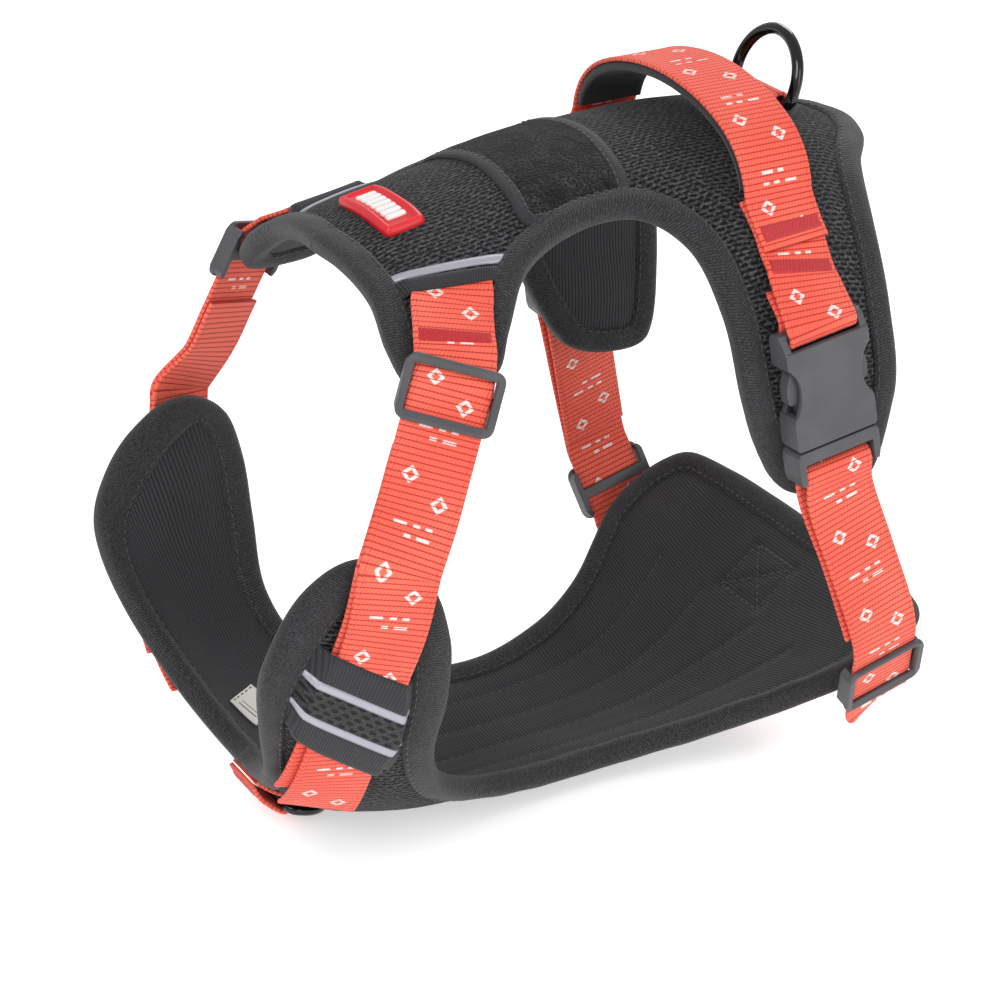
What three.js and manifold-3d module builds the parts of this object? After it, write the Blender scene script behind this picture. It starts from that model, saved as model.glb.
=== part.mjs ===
// No-pull dog harness: a padded back panel and a padded chest plate joined by four adjustable webbing
// straps, with a handle, a leash ring, a front ring, strap sliders and two side-release buckles.
// Millimetres, +Z up. -Y is towards the dog's head, +X is the dog's left. The harness stands on the
// middle of its belly strip, and the origin is on the floor below the centre of the bounding box.
import * as THREE from 'three';
import { mergeVertices } from 'three/addons/utils/BufferGeometryUtils.js';
import Module from 'manifold-3d';

const wasm = await Module();
wasm.setup();

// Driving dimensions.
const WEB_WIDTH = 26;
const WEB_THICK = 1.4;
const GAP = 0.4;
const EDGE_GAP = 0.65;
const PANEL_THICK = 4.6;
const LINING_THICK = 1.2;
const EDGE_WIDTH = 3.2;
const CELL = 17;
const TRIM_CELL = 9;
const HANDLE_FRONT = 60;
const HANDLE_REAR = 86;
const HANDLE_LINING = 2.6;
const LEASH_RING = { width: 38, height: 25.5, wire: 2.1, lean: -18 };
const FRONT_RING = { width: 28, height: 20, wire: 1.8, lean: -110 };
const BUCKLE = { width: 32, thick: 10 };
const PRONG_REST_GAP = 0.45;
const SLIDER = { width: 31.5, height: 21, bar: 3, plate: 2 };

const COLOUR = {
  mesh: 0x232326, lining: 0x2a2a2d, binding: 0x303036, loop: 0x26262b, webbing: 0xc9372f,
  reflective: 0xa5a3ac, badge: 0xe1232d, insert: 0xf1f0ee, plastic: 0x46464b, steel: 0x17171a,
  label: 0xe9e7e2, ribbon: 0x37373e,
};
// Roughness and metalness where they differ from plain cloth.
const FINISH = {
  steel: [0.22, 0.85], plastic: [0.45, 0], badge: [0.4, 0], insert: [0.4, 0], reflective: [0.35, 0.1],
};

const group = new THREE.Group();
const harness = new THREE.Group();
group.add(harness);

function add(name, geometry, finish) {
  const [roughness, metalness] = FINISH[finish] ?? [0.9, 0];
  const material = new THREE.MeshStandardMaterial({ color: COLOUR[finish], roughness, metalness });
  const mesh = new THREE.Mesh(geometry, material);
  mesh.name = name;
  harness.add(mesh);
}

// Adds a left-hand piece and its mirror image on the right.
function addPair(name, geometry, finish, suffix = '') {
  add(`${name}_left${suffix}`, geometry, finish);
  const right = (geometry.index ? geometry.toNonIndexed() : geometry.clone()).scale(-1, 1, 1);
  const { position } = right.attributes;
  const corners = Array.from({ length: position.count }, (_, i) => i + [0, 1, -1][i % 3]);
  const points = corners.map((i) => new THREE.Vector3().fromBufferAttribute(position, i));
  add(`${name}_right${suffix}`, new THREE.BufferGeometry().setFromPoints(points), finish);
}

// Smooth line through given values: a cubic with slopes taken from the neighbours.
function smooth(xs, ys) {
  const slope = xs.map((x, i) => {
    const a = Math.max(0, i - 1);
    const b = Math.min(xs.length - 1, i + 1);
    return (ys[b] - ys[a]) / (xs[b] - xs[a]);
  });
  return (x) => {
    let i = 0;
    while (i < xs.length - 2 && x > xs[i + 1]) i += 1;
    const h = xs[i + 1] - xs[i];
    const t = (x - xs[i]) / h;
    if (t < 0) return ys[i] + slope[i] * (x - xs[i]);
    if (t > 1) return ys[i + 1] + slope[i + 1] * (x - xs[i + 1]);
    const a = ys[i] * (1 + 2 * t) * (1 - t) ** 2 + ys[i + 1] * t * t * (3 - 2 * t);
    return a + h * (slope[i] * t * (1 - t) ** 2 - slope[i + 1] * t * t * (1 - t));
  };
}

// The dog's back: s is the distance round the body from the ridge, y runs along the back.
const ridge = smooth(
  [-75, -42, -20, 10, 40, 80, 110, 138],
  [108.5, 113.6, 118, 124.5, 127, 127, 123, 116],
);
const BACK_TURN = THREE.MathUtils.degToRad(97);
const BACK_ROUND = 125;

function walk(reach, angleAt) {
  const steps = 24;
  let x = 0;
  let z = 0;
  for (let i = 0; i < steps; i += 1) {
    const angle = angleAt(((i + 0.5) / steps) * reach);
    x += (Math.cos(angle) * reach) / steps;
    z += (Math.sin(angle) * reach) / steps;
  }
  return [x, z];
}

const backAngle = (s) => BACK_TURN * Math.min(s / BACK_ROUND, 1) ** 1.1;

function backPoint(s, y) {
  const [x, drop] = walk(Math.abs(s), backAngle);
  return new THREE.Vector3(Math.sign(s) * x, y, ridge(y) - drop);
}

// Turns a surface of points into one that also takes a lift along its outward side.
function lifted(pointAt, turn) {
  return (u, v, lift) => {
    const alongU = pointAt(u + 0.5, v).sub(pointAt(u - 0.5, v));
    const alongV = pointAt(u, v + 0.5).sub(pointAt(u, v - 0.5));
    const normal = alongU.cross(alongV).normalize();
    return pointAt(u, v).addScaledVector(normal, turn * lift);
  };
}

const onBack = lifted(backPoint, 1);

// The chest and belly: p runs from the front of the chest to the rear, q runs round the body.
const CHEST_LINE = [
  [-102, -74], [-90, -85], [-72, -93.5], [-48, -98], [0, -99], [45, -97],
  [70, -90], [90, -79.5], [109, -66.5], [125, -54], [137, -44],
];
const chestRun = [0];
CHEST_LINE.slice(1).forEach(([y, z], i) => {
  chestRun.push(chestRun[i] + Math.hypot(y - CHEST_LINE[i][0], z - CHEST_LINE[i][1]));
});
const chestY = smooth(chestRun, CHEST_LINE.map((c) => c[0]));
const chestZ = smooth(chestRun, CHEST_LINE.map((c) => c[1]));
const chestBend = smooth(
  [0, 30, 60, 105, 150, 190, 215, 261],
  [0.0177, 0.0177, 0.015, 0.0105, 0.01, 0.0065, 0.0045, 0.002],
);
const chestLean = smooth([0, 50, 100, 261], [0.279, 0.122, 0, 0]);
const CHEST_STEEP = 1.75;

function chestPoint(q, p) {
  const bend = chestBend(p);
  const [x, rise] = walk(Math.abs(q), (s) => CHEST_STEEP * Math.tanh((bend * s) / CHEST_STEEP));
  const lean = chestLean(p);
  const y = chestY(p) - rise * Math.sin(lean);
  return new THREE.Vector3(Math.sign(q) * x, y, chestZ(p) + rise * Math.cos(lean));
}

const onChest = lifted(chestPoint, -1);

// A closed solid from numbered corners, with its faces turned outwards.
function solid(points, faces) {
  const volume = faces.reduce((sum, [a, b, c]) => {
    return sum + points[a].dot(new THREE.Vector3().crossVectors(points[b], points[c]));
  }, 0);
  const turned = volume < 0 ? faces.map(([a, b, c]) => [a, c, b]) : faces;
  const geometry = new THREE.BufferGeometry().setFromPoints(points);
  geometry.setIndex(turned.flat());
  return geometry;
}

function inside(point, outline) {
  return outline.reduce((odd, a, i) => {
    const b = outline[(i + 1) % outline.length];
    const crosses = a.y > point.y !== b.y > point.y;
    return crosses && point.x < a.x + ((b.x - a.x) * (point.y - a.y)) / (b.y - a.y) ? !odd : odd;
  }, false);
}

// Points of a triangular lattice that lie well inside the outline.
function lattice(outline, cell) {
  const box = new THREE.Box2().setFromPoints(outline);
  const found = [];
  const rows = Math.ceil((box.max.y - box.min.y) / (cell * 0.866));
  for (let j = 0; j <= rows; j += 1) {
    const y = box.min.y + (j + 0.5) * cell * 0.866;
    const columns = Math.ceil(box.max.x / cell) + 1;
    for (let i = -columns; i <= columns; i += 1) {
      const point = new THREE.Vector2((i + (j % 2) / 2) * cell, y);
      const clear = outline.every((c) => c.distanceTo(point) > cell * 0.6);
      if (clear && inside(point, outline)) found.push(point);
    }
  }
  return found;
}

const turnOf = (a, b, c) => (b.x - a.x) * (c.y - a.y) - (b.y - a.y) * (c.x - a.x);

function inCircle(a, b, c, d) {
  const [ax, ay, bx, by, cx, cy] = [a.x - d.x, a.y - d.y, b.x - d.x, b.y - d.y, c.x - d.x, c.y - d.y];
  const [aa, bb, cc] = [ax * ax + ay * ay, bx * bx + by * by, cx * cx + cy * cy];
  return ax * (by * cc - cy * bb) - ay * (bx * cc - cx * bb) + aa * (bx * cy - cx * by) > 1e-6;
}

// Swaps shared edges until every triangle is as round as its neighbours allow.
function relax(points, faces) {
  for (let pass = 0, swapped = true; swapped && pass < 60; pass += 1) {
    swapped = false;
    const edges = new Map();
    faces.forEach((face, f) => face.forEach((v, k) => {
      edges.set(`${v},${face[(k + 1) % 3]}`, [f, face[(k + 2) % 3]]);
    }));
    const touched = new Set();
    for (const [key, [f, far]] of edges) {
      const [a, b] = key.split(',').map(Number);
      const other = edges.get(`${b},${a}`);
      if (!other || touched.has(f) || touched.has(other[0])) continue;
      if (!inCircle(points[a], points[b], points[far], points[other[1]])) continue;
      faces[f] = [a, other[1], far];
      faces[other[0]] = [other[1], b, far];
      touched.add(f).add(other[0]);
      swapped = true;
    }
  }
}

// The flat area inside an outline as points and well-shaped triangles.
function meshArea(outline, cell) {
  const points = [...outline];
  const faces = THREE.ShapeUtils.triangulateShape(outline, []).map(([a, b, c]) => {
    return turnOf(outline[a], outline[b], outline[c]) < 0 ? [a, c, b] : [a, b, c];
  });
  for (const point of lattice(outline, cell)) {
    const holds = (f) => f.every((v, k) => turnOf(points[v], points[f[(k + 1) % 3]], point) > 1e-9);
    const home = faces.findIndex(holds);
    if (home < 0) continue;
    const [a, b, c] = faces[home];
    const n = points.push(point) - 1;
    faces.splice(home, 1, [a, b, n], [b, c, n], [c, a, n]);
  }
  relax(points, faces);
  return { points, faces };
}

// A layer of even thickness with the given outline, laid on a body surface between two lifts.
function layer(outline, surface, low, high, cell = CELL) {
  const flat = meshArea(outline, cell);
  const count = flat.points.length;
  const points = [high, low].flatMap((lift) => flat.points.map((c) => surface(c.x, c.y, lift)));
  const faces = [];
  const edges = new Map();
  for (const t of flat.faces) {
    faces.push(t, [t[0] + count, t[2] + count, t[1] + count]);
    t.forEach((a, k) => edges.set(`${a},${t[(k + 1) % 3]}`, [a, t[(k + 1) % 3]]));
  }
  for (const [a, b] of edges.values()) {
    if (edges.has(`${b},${a}`)) continue;
    faces.push([b, a, a + count], [b, a + count, b + count]);
  }
  return solid(points, faces);
}

// A closed solid through a row of rings of points; an open row is capped at both ends.
function skin(rings, closed = false) {
  const sides = rings[0].length;
  const faces = [];
  const last = closed ? rings.length : rings.length - 1;
  for (let i = 0; i < last; i += 1) {
    const a = i * sides;
    const b = ((i + 1) % rings.length) * sides;
    for (let k = 0; k < sides; k += 1) {
      const m = (k + 1) % sides;
      if (k < sides / 2) faces.push([a + k, a + m, b + m], [a + k, b + m, b + k]);
      else faces.push([a + k, a + m, b + k], [a + m, b + m, b + k]);
    }
  }
  if (!closed) {
    const end = (rings.length - 1) * sides;
    for (let k = 1; k < sides - 1; k += 1) faces.push([0, k + 1, k], [end, end + k, end + k + 1]);
  }
  return solid(rings.flat(), faces);
}

// Flat strap along stations {p, n}: p is the middle of the strap, n the side it faces.
function strap(stations, width = WEB_WIDTH, thick = WEB_THICK) {
  const rings = stations.map(({ p, n }, i) => {
    const before = stations[Math.max(0, i - 1)].p;
    const after = stations[Math.min(stations.length - 1, i + 1)].p;
    const along = after.clone().sub(before).normalize();
    const across = new THREE.Vector3().crossVectors(n, along).normalize();
    const face = new THREE.Vector3().crossVectors(along, across).normalize();
    const corner = (a, b) => {
      return p.clone().addScaledVector(across, (a * width) / 2).addScaledVector(face, (b * thick) / 2);
    };
    return [corner(-1, 1), corner(1, 1), corner(1, -1), corner(-1, -1)];
  });
  return skin(rings);
}

function station(surface, u, v, lift) {
  const p = surface(u, v, lift);
  return { p, n: surface(u, v, lift + 1).sub(p).normalize() };
}

// Even points round a closed outline given by a few points on its right-hand half.
function outlineOf(half, spacing) {
  const left = half.filter(([u]) => u > 0).reverse().map(([u, v]) => [-u, v]);
  const all = [...half, ...left].map(([u, v]) => new THREE.Vector3(u, v, 0));
  const curve = new THREE.CatmullRomCurve3(all, true, 'centripetal');
  const count = 2 * Math.round(curve.getLength() / spacing / 2);
  return curve.getSpacedPoints(count).slice(0, count).map((c) => new THREE.Vector2(c.x, c.y));
}

function inset(outline, depth) {
  return outline.map((c, i) => {
    const before = outline[(i + outline.length - 1) % outline.length];
    const after = outline[(i + 1) % outline.length];
    const along = after.clone().sub(before).normalize();
    const turn = THREE.ShapeUtils.isClockWise(outline) ? -1 : 1;
    return new THREE.Vector2(c.x - turn * along.y * depth, c.y + turn * along.x * depth);
  });
}

// Rolled edge binding just outside a panel, along the same outline points.
function binding(outline, surface, low, high) {
  const outer = outline;
  const inner = inset(outline, EDGE_WIDTH - EDGE_GAP);
  const middle = inset(outline, (EDGE_WIDTH - EDGE_GAP) * 0.25);
  const rings = outline.map((c, i) => [
    surface(inner[i].x, inner[i].y, high),
    surface(middle[i].x, middle[i].y, high),
    surface(outer[i].x, outer[i].y, high - 2),
    surface(outer[i].x, outer[i].y, low + 2),
    surface(middle[i].x, middle[i].y, low),
    surface(inner[i].x, inner[i].y, low),
  ]);
  return skin(rings, true);
}

function roundWire(points, radius, closed, sides = 8) {
  const rings = points.map((p, i) => {
    const n = points.length;
    const before = closed ? points[(i + n - 1) % n] : points[Math.max(0, i - 1)];
    const after = closed ? points[(i + 1) % n] : points[Math.min(n - 1, i + 1)];
    const along = after.clone().sub(before).normalize();
    const side = new THREE.Vector3(0, 1, 0);
    const up = new THREE.Vector3().crossVectors(along, side).normalize();
    return Array.from({ length: sides }, (_, k) => {
      const turn = (2 * Math.PI * k) / sides;
      const [a, b] = [radius * Math.cos(turn), radius * Math.sin(turn)];
      return p.clone().addScaledVector(side, a).addScaledVector(up, b);
    });
  });
  return skin(rings, closed);
}

// Back panel: padded saddle with shoulder wings, a narrow waist and two long side pads.
const BACK_HALF = [
  [0, -69], [14, -68], [37, -67], [56, -69], [70, -66], [76, -52], [77, -38], [66, -30],
  [49, -16], [42.5, 3], [45, 27], [60, 39], [86, 44], [116, 48], [140, 57], [156, 68],
  [161, 84], [157, 101], [125, 108], [92, 107], [64, 110], [40, 118], [20, 132], [0, 138],
];
const backOutline = outlineOf(BACK_HALF, 10);

function backPanel() {
  const inner = inset(backOutline, EDGE_WIDTH);
  const low = -PANEL_THICK - GAP - LINING_THICK;
  add('back_panel', layer(inner, onBack, -PANEL_THICK, 0), 'mesh');
  add('back_lining', layer(inner, onBack, low, -PANEL_THICK - GAP), 'lining');
  add('back_binding', binding(backOutline, onBack, low - 0.5, 0.5), 'binding');
}

// Loop-tape field, badge and trims sewn on top of the back panel.
const LOOP_HALF = [
  [0, -8], [20, -9.5], [35, -10], [38.5, 0], [38.5, 12], [39.5, 22], [38, 27], [20, 31], [0, 33],
];

function backTrims() {
  add('loop_panel', layer(outlineOf(LOOP_HALF, 7), onBack, 0.8, 1.8, TRIM_CELL), 'loop');
  const badge = outlineOf([[0, -51], [15, -50.6], [17, -49], [17, -38], [15, -36.4], [0, -36]], 4);
  add('badge', layer(badge, onBack, 0.7, 2.7, TRIM_CELL), 'badge');
  const insert = outlineOf([[0, -47], [12, -47], [13, -45.5], [13, -41.5], [12, -40], [0, -40]], 4);
  add('badge_insert', layer(insert, onBack, 3.1, 3.7, TRIM_CELL), 'insert');
  const strip = stepped([[31, -63], [34, -64], [44.5, -19.5], [41.5, -18.5]]);
  const ribbon = stepped([[35, -61], [39.5, -60], [47.5, -27], [44, -23]]);
  addPair('back_reflective', layer(strip, onBack, 0.7, 1.3, TRIM_CELL), 'reflective');
  addPair('back_ribbon', layer(ribbon, onBack, 0.7, 1.3, TRIM_CELL), 'ribbon');
}

// A straight-sided patch, its edges cut into short steps so that it follows a curved surface.
function stepped(corners, step = 8) {
  const points = [];
  corners.forEach(([u, v], i) => {
    const [x, y] = corners[(i + 1) % corners.length];
    const cuts = Math.max(1, Math.ceil(Math.hypot(x - u, y - v) / step));
    for (let k = 0; k < cuts; k += 1) {
      points.push(new THREE.Vector2(u + ((x - u) * k) / cuts, v + ((y - v) * k) / cuts));
    }
  });
  return points;
}

// Chest plate: two wings up to the shoulders, a narrow belly strip and two rear wings.
const CHEST_HALF = [
  [0, 0], [38, -6], [70, -9], [100, -4], [128, 10], [150, 24], [162, 36], [164, 45], [158, 52],
  [140, 55.5], [115, 54.5], [86, 52], [66, 58], [52, 74], [46, 96], [44, 122], [50, 148],
  [60, 172], [71, 190], [79, 204], [82, 220], [80, 238], [73, 250], [50, 257], [25, 259.5], [0, 260],
];
// Corners of the size label inside the right-hand side of the chest plate.
const LABEL = [[-33, 11], [-23.4, 18.2], [-36.6, 35.8], [-46.2, 28.6]];
const chestOutline = outlineOf(CHEST_HALF, 10.5);

function chestPlate() {
  const inner = inset(chestOutline, EDGE_WIDTH);
  const low = -PANEL_THICK - GAP - LINING_THICK;
  add('chest_panel', layer(inner, onChest, -PANEL_THICK, 0), 'mesh');
  add('chest_lining', layer(inner, onChest, low, -PANEL_THICK - GAP), 'lining');
  add('chest_binding', binding(chestOutline, onChest, low - 0.5, 0.5), 'binding');
  add('size_label', layer(stepped(LABEL), onChest, low - 1.5, low - 1, TRIM_CELL), 'label');
}

// Puts a solid built round the middle of a strap (y down the strap, z outwards) in its place.
function seat(geometry, { centre, down, outward }) {
  const y = new THREE.Vector3(...down).normalize();
  const z = new THREE.Vector3(...outward);
  z.addScaledVector(y, -z.dot(y)).normalize();
  const x = new THREE.Vector3().crossVectors(y, z);
  const place = new THREE.Matrix4().makeBasis(x, y, z);
  place.setPosition(...centre);
  return geometry.clone().applyMatrix4(place);
}

function bare(geometry) {
  const copy = geometry.clone();
  copy.deleteAttribute('normal');
  copy.deleteAttribute('uv');
  return mergeVertices(copy, 1e-4);
}

function toManifold(geometry) {
  const clean = bare(geometry);
  return new wasm.Manifold(new wasm.Mesh({
    numProp: 3,
    vertProperties: new Float32Array(clean.attributes.position.array),
    triVerts: new Uint32Array(clean.index.array),
  }));
}

function fromManifold(manifold) {
  const { vertProperties, triVerts } = manifold.getMesh();
  const geometry = new THREE.BufferGeometry();
  geometry.setAttribute('position', new THREE.BufferAttribute(new Float32Array(vertProperties), 3));
  geometry.setIndex(new THREE.BufferAttribute(new Uint32Array(triVerts), 1));
  return geometry;
}

const joined = (parts) => fromManifold(parts.map(toManifold).reduce((sum, part) => sum.add(part)));

function cut(body, tools) {
  return fromManifold(tools.map(toManifold).reduce((rest, tool) => rest.subtract(tool), toManifold(body)));
}

// A block from its lowest to its highest corner.
function block([x0, y0, z0], [x1, y1, z1]) {
  const box = new THREE.BoxGeometry(x1 - x0, y1 - y0, z1 - z0);
  return box.translate((x0 + x1) / 2, (y0 + y1) / 2, (z0 + z1) / 2);
}

// A plate cut to a right-hand half outline, mirrored about x = 0 and centred on z = 0.
function plate(half, thick, bevel = 0.6) {
  const left = half.slice().reverse().map(([x, y]) => [-x, y]);
  const shape = new THREE.Shape([...half, ...left].map(([x, y]) => new THREE.Vector2(x, y)));
  const settings = {
    depth: thick - 2 * bevel,
    bevelThickness: bevel,
    bevelSize: bevel,
    bevelOffset: -bevel,
    bevelSegments: 1,
  };
  return new THREE.ExtrudeGeometry(shape, settings).translate(0, 0, bevel - thick / 2);
}

// Three-bar slider: the strap runs straight, over the middle bar and under the two outer bars.
function slider() {
  const { width, height, bar, plate: deep } = SLIDER;
  const half = width / 2;
  const near = WEB_THICK / 2 + GAP;
  const far = near + deep;
  const rail = (width - WEB_WIDTH) / 2 - GAP;
  const rails = [-1, 1].map((e) => {
    const [a, b] = e < 0 ? [-half, -half + rail] : [half - rail, half];
    return block([a, -height / 2, -far], [b, height / 2, far]);
  });
  const bars = [-1, 1].map((e) => {
    const outer = (e * height) / 2;
    const inner = outer - e * bar;
    return block([-half, Math.min(outer, inner), near], [half, Math.max(outer, inner), far]);
  });
  return joined([...rails, ...bars, block([-half, -2, -far], [half, 2, -near])]);
}

// Shoulder straps: sewn to the shoulder wing, through the slider and down the chest wing.
const SHOULDER = {
  centre: [69.9, -57.7, 79.2],
  down: [0.169, -0.395, -0.903],
  outward: [0.883, -0.348, 0.318],
};
// Down the chest wing: [q, p, lift of the strap].
const SHOULDER_RUN = [
  [165, 45.5, 6.6], [143, 40.5, 5.3], [124, 34.6, 4.4], [108.7, 30, 4], [95.5, 25.3, 4],
  [82.7, 21.7, 4], [64, 18, 4], [49, 16.5, 3.7],
];

// A point on the straight stretch of a strap, so far down it and so far outwards.
function along({ centre, down, outward }, distance, outwards = 0) {
  const n = new THREE.Vector3(...outward);
  const p = new THREE.Vector3(...centre).addScaledVector(new THREE.Vector3(...down), distance);
  return { p: p.addScaledVector(n, outwards), n };
}

// Closely spaced stations on a body surface through a few [u, v, lift] points.
function laid(surface, route, spacing = 7) {
  const turns = route.map((c) => new THREE.Vector3(...c));
  const curve = new THREE.CatmullRomCurve3(turns, false, 'centripetal');
  const count = Math.max(2, Math.round(curve.getLength() / spacing));
  return curve.getSpacedPoints(count).map((c) => station(surface, c.x, c.y, c.z));
}

function shoulders() {
  const top = laid(onBack, [[47, -42, 1.9], [55, -45.5, 2.1], [63, -49.5, 3]]);
  const free = [-13, 0, 13, 24, 38].map((d) => along(SHOULDER, d));
  const wing = laid(onChest, SHOULDER_RUN);
  addPair('shoulder_strap', strap([...top, ...free, ...wing]), 'webbing');
  const back = [24, 38].map((d) => along(SHOULDER, d, -2.1));
  const under = laid(onChest, SHOULDER_RUN.slice(0, 7).map(([q, p, lift]) => [q, p, lift - 2.1]));
  addPair('shoulder_return', strap([...back, ...under]), 'webbing');
  addPair('shoulder_slider', seat(slider(), SHOULDER), 'plastic');
}

// Mesh window, ribbons and reflective strips across the strap on each chest wing.
const WING_BANDS = [
  ['chest_ribbon_upper', 'ribbon', 0, 9.6], ['chest_reflective_upper', 'reflective', 10.1, 13.1],
  ['chest_mesh', 'mesh', 13.6, 23.6], ['chest_reflective_lower', 'reflective', 24.1, 27.1],
  ['chest_ribbon_lower', 'ribbon', 27.6, 37.6],
];

function wingTrims() {
  const edge = (p, drop) => [131 - 0.4 * (p - 20) - drop * 1.06, p - drop * 0.42];
  const [front, rear] = [18.5, 49.5];
  WING_BANDS.forEach(([name, finish, from, to]) => {
    const corners = stepped([edge(front, from), edge(rear, from), edge(rear, to), edge(front, to)]);
    addPair(name, layer(corners, onChest, 5.9, 6.7, TRIM_CELL), finish);
  });
}

// Handle: an arch of webbing with a soft lining, standing across the back behind the waist.
const HANDLE_ARCH = [
  [54.6, 110.5], [53.4, 117], [49.9, 125.4], [42.6, 133], [30, 139.2], [15, 142.8], [0, 144],
];

function handle() {
  const y = (HANDLE_FRONT + HANDLE_REAR) / 2;
  const arch = [...HANDLE_ARCH, ...HANDLE_ARCH.slice(0, -1).reverse().map(([x, z]) => [-x, z])];
  const stations = arch.map(([x, z], i) => {
    const [x0, z0] = arch[Math.max(0, i - 1)];
    const [x1, z1] = arch[Math.min(arch.length - 1, i + 1)];
    return { p: new THREE.Vector3(x, y, z), n: new THREE.Vector3(z1 - z0, 0, x0 - x1).normalize() };
  });
  add('handle_webbing', strap(stations), 'webbing');
  const depth = WEB_THICK / 2 + GAP + HANDLE_LINING / 2;
  const under = stations.slice(1, -1).map(({ p, n }) => ({ p: p.clone().addScaledVector(n, -depth), n }));
  add('handle_lining', strap(under, WEB_WIDTH - 2, HANDLE_LINING), 'lining');
}

// A D-shaped ring in its own plane: straight bar along x at the bottom, bow upwards.
function dRing({ width, height, wire, lean }) {
  const half = width / 2 - wire;
  const bow = Array.from({ length: 13 }, (_, i) => {
    const t = (Math.PI * i) / 12;
    return [half * Math.cos(t) * (1 - 0.06 * Math.sin(t)), height * 0.28 + height * 0.6 * Math.sin(t)];
  });
  const bar = [[-half * 0.95, 1.2], [-half * 0.78, 0], [0, 0], [half * 0.78, 0], [half * 0.95, 1.2]];
  const points = [...bow, ...bar].map(([x, z]) => new THREE.Vector3(x, 0, z));
  return roundWire(points, wire, true).rotateX(THREE.MathUtils.degToRad(lean));
}

// A short strap folded round a ring's bar; its two ends lie one over the other on the panel.
function ringTab(bar, wire, ends, width) {
  const reach = wire + GAP + WEB_THICK / 2;
  const turns = Array.from({ length: 7 }, (_, i) => {
    const t = ends.start + (ends.sweep * i) / 6;
    const n = new THREE.Vector3(0, Math.cos(t), Math.sin(t));
    return { p: bar.clone().addScaledVector(n, reach), n };
  });
  return strap([...ends.under, ...turns, ...ends.over], width);
}

const LEASH_BAR = new THREE.Vector3(0, 102, 128.9);
const FRONT_BAR = onChest(0, 20, 4.2);

function rings() {
  const turned = ({ p, n }) => ({ p, n: n.negate() });
  add('leash_ring', dRing(LEASH_RING).translate(...LEASH_BAR), 'steel');
  const leash = {
    start: -Math.PI / 2 - 0.15,
    sweep: Math.PI + 0.5,
    under: [85, 94].map((y) => turned(station(onBack, 0, y, 1.3))),
    over: [94, 85].map((y) => station(onBack, 0, y, 3.3)),
  };
  add('leash_ring_tab', ringTab(LEASH_BAR, LEASH_RING.wire, leash, WEB_WIDTH - 2), 'webbing');
  add('front_ring', dRing(FRONT_RING).translate(...FRONT_BAR), 'steel');
  const front = {
    start: Math.PI * 0.33,
    sweep: -Math.PI * 1.05,
    under: [4.5, 11].map((p) => turned(station(onChest, 0, p, 1.3))),
    over: [[11, 5.6], [4.5, 3.3]].map(([p, lift]) => station(onChest, 0, p, lift)),
  };
  add('front_ring_tab', ringTab(FRONT_BAR, FRONT_RING.wire, front, 18), 'webbing');
}

// Side-release buckle in its own frame: y runs down from the upper bar, z is outwards.
const MOUTH = 40;
const CATCH = 24;

function buckleFemale() {
  const half = BUCKLE.width / 2;
  const outline = [
    [half - 1, -1], [half, 0.5], [half, 9], [half - 2.4, 13.5], [half - 2.4, CATCH], [half - 0.6, CATCH + 3],
    [half - 0.4, MOUTH - 2], [half - 1.4, MOUTH],
  ];
  const deep = BUCKLE.thick;
  const cavity = block([-12.6, 11, -2.9], [12.6, MOUTH + 1, 2.9]);
  const windows = block([-half - 1, 13.5, -2.9], [half + 1, CATCH, 2.9]);
  const slots = [[7, 2.9], [4.6, deep]].map(([y, z]) => block([-13.4, 2.4, -z], [13.4, y, z]));
  const reliefs = [[-6, -1.6], [1.6, 6]].map(([a, b]) => block([-13.4, -3, a], [13.4, 3, b]));
  return cut(plate(outline, deep), [cavity, windows, ...slots, ...reliefs]);
}

function buckleMale() {
  const half = BUCKLE.width / 2;
  const top = MOUTH + GAP;
  const outline = [[half - 1.4, top], [half - 0.4, top + 2], [half, top + 8], [half - 1, top + 12]];
  const base = plate(outline, BUCKLE.thick);
  const slot = block([-13.4, top + 4.6, -BUCKLE.thick], [13.4, top + 9, BUCKLE.thick]);
  const reliefs = [[-6, -1.6], [1.6, 6]].map(([a, b]) => block([-13.4, top + 8.6, a], [13.4, top + 14, b]));
  const tongue = block([-2.6, 15, -2.1], [2.6, top + 1, 2.1]);
  return joined([cut(base, [slot, ...reliefs]), tongue]);
}

// Spring arm with a barb that stands out through the side window of the female half.
function buckleProng(end) {
  const root = MOUTH - PRONG_REST_GAP + 0.4;
  const points = [
    [8.2, root], [8, 24], [7.4, 17.5], [8.6, 15], [11, 14.6], [14.4, 17.4], [15.2, CATCH - 2.2],
    [15, CATCH - PRONG_REST_GAP], [12, CATCH - PRONG_REST_GAP], [11.6, CATCH + 1], [11.4, root],
  ].map(([x, y]) => new THREE.Vector2(end * x, y));
  const arm = new THREE.ExtrudeGeometry(new THREE.Shape(points), { depth: 4.4, bevelEnabled: false });
  return arm.translate(0, 0, -2.2);
}

const BUCKLE_SEAT = {
  centre: [81.4, 70.8, 80.2],
  down: [0.055, 0.143, -0.9882],
  outward: [0.9985, -0.0079, 0.0544],
};

function buckles() {
  addPair('buckle_female', seat(buckleFemale(), BUCKLE_SEAT), 'plastic');
  addPair('buckle_male', seat(buckleMale(), BUCKLE_SEAT), 'plastic');
  addPair('buckle_prong', seat(buckleProng(1), BUCKLE_SEAT), 'plastic', '_front');
  addPair('buckle_prong', seat(buckleProng(-1), BUCKLE_SEAT), 'plastic', '_rear');
}

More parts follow.
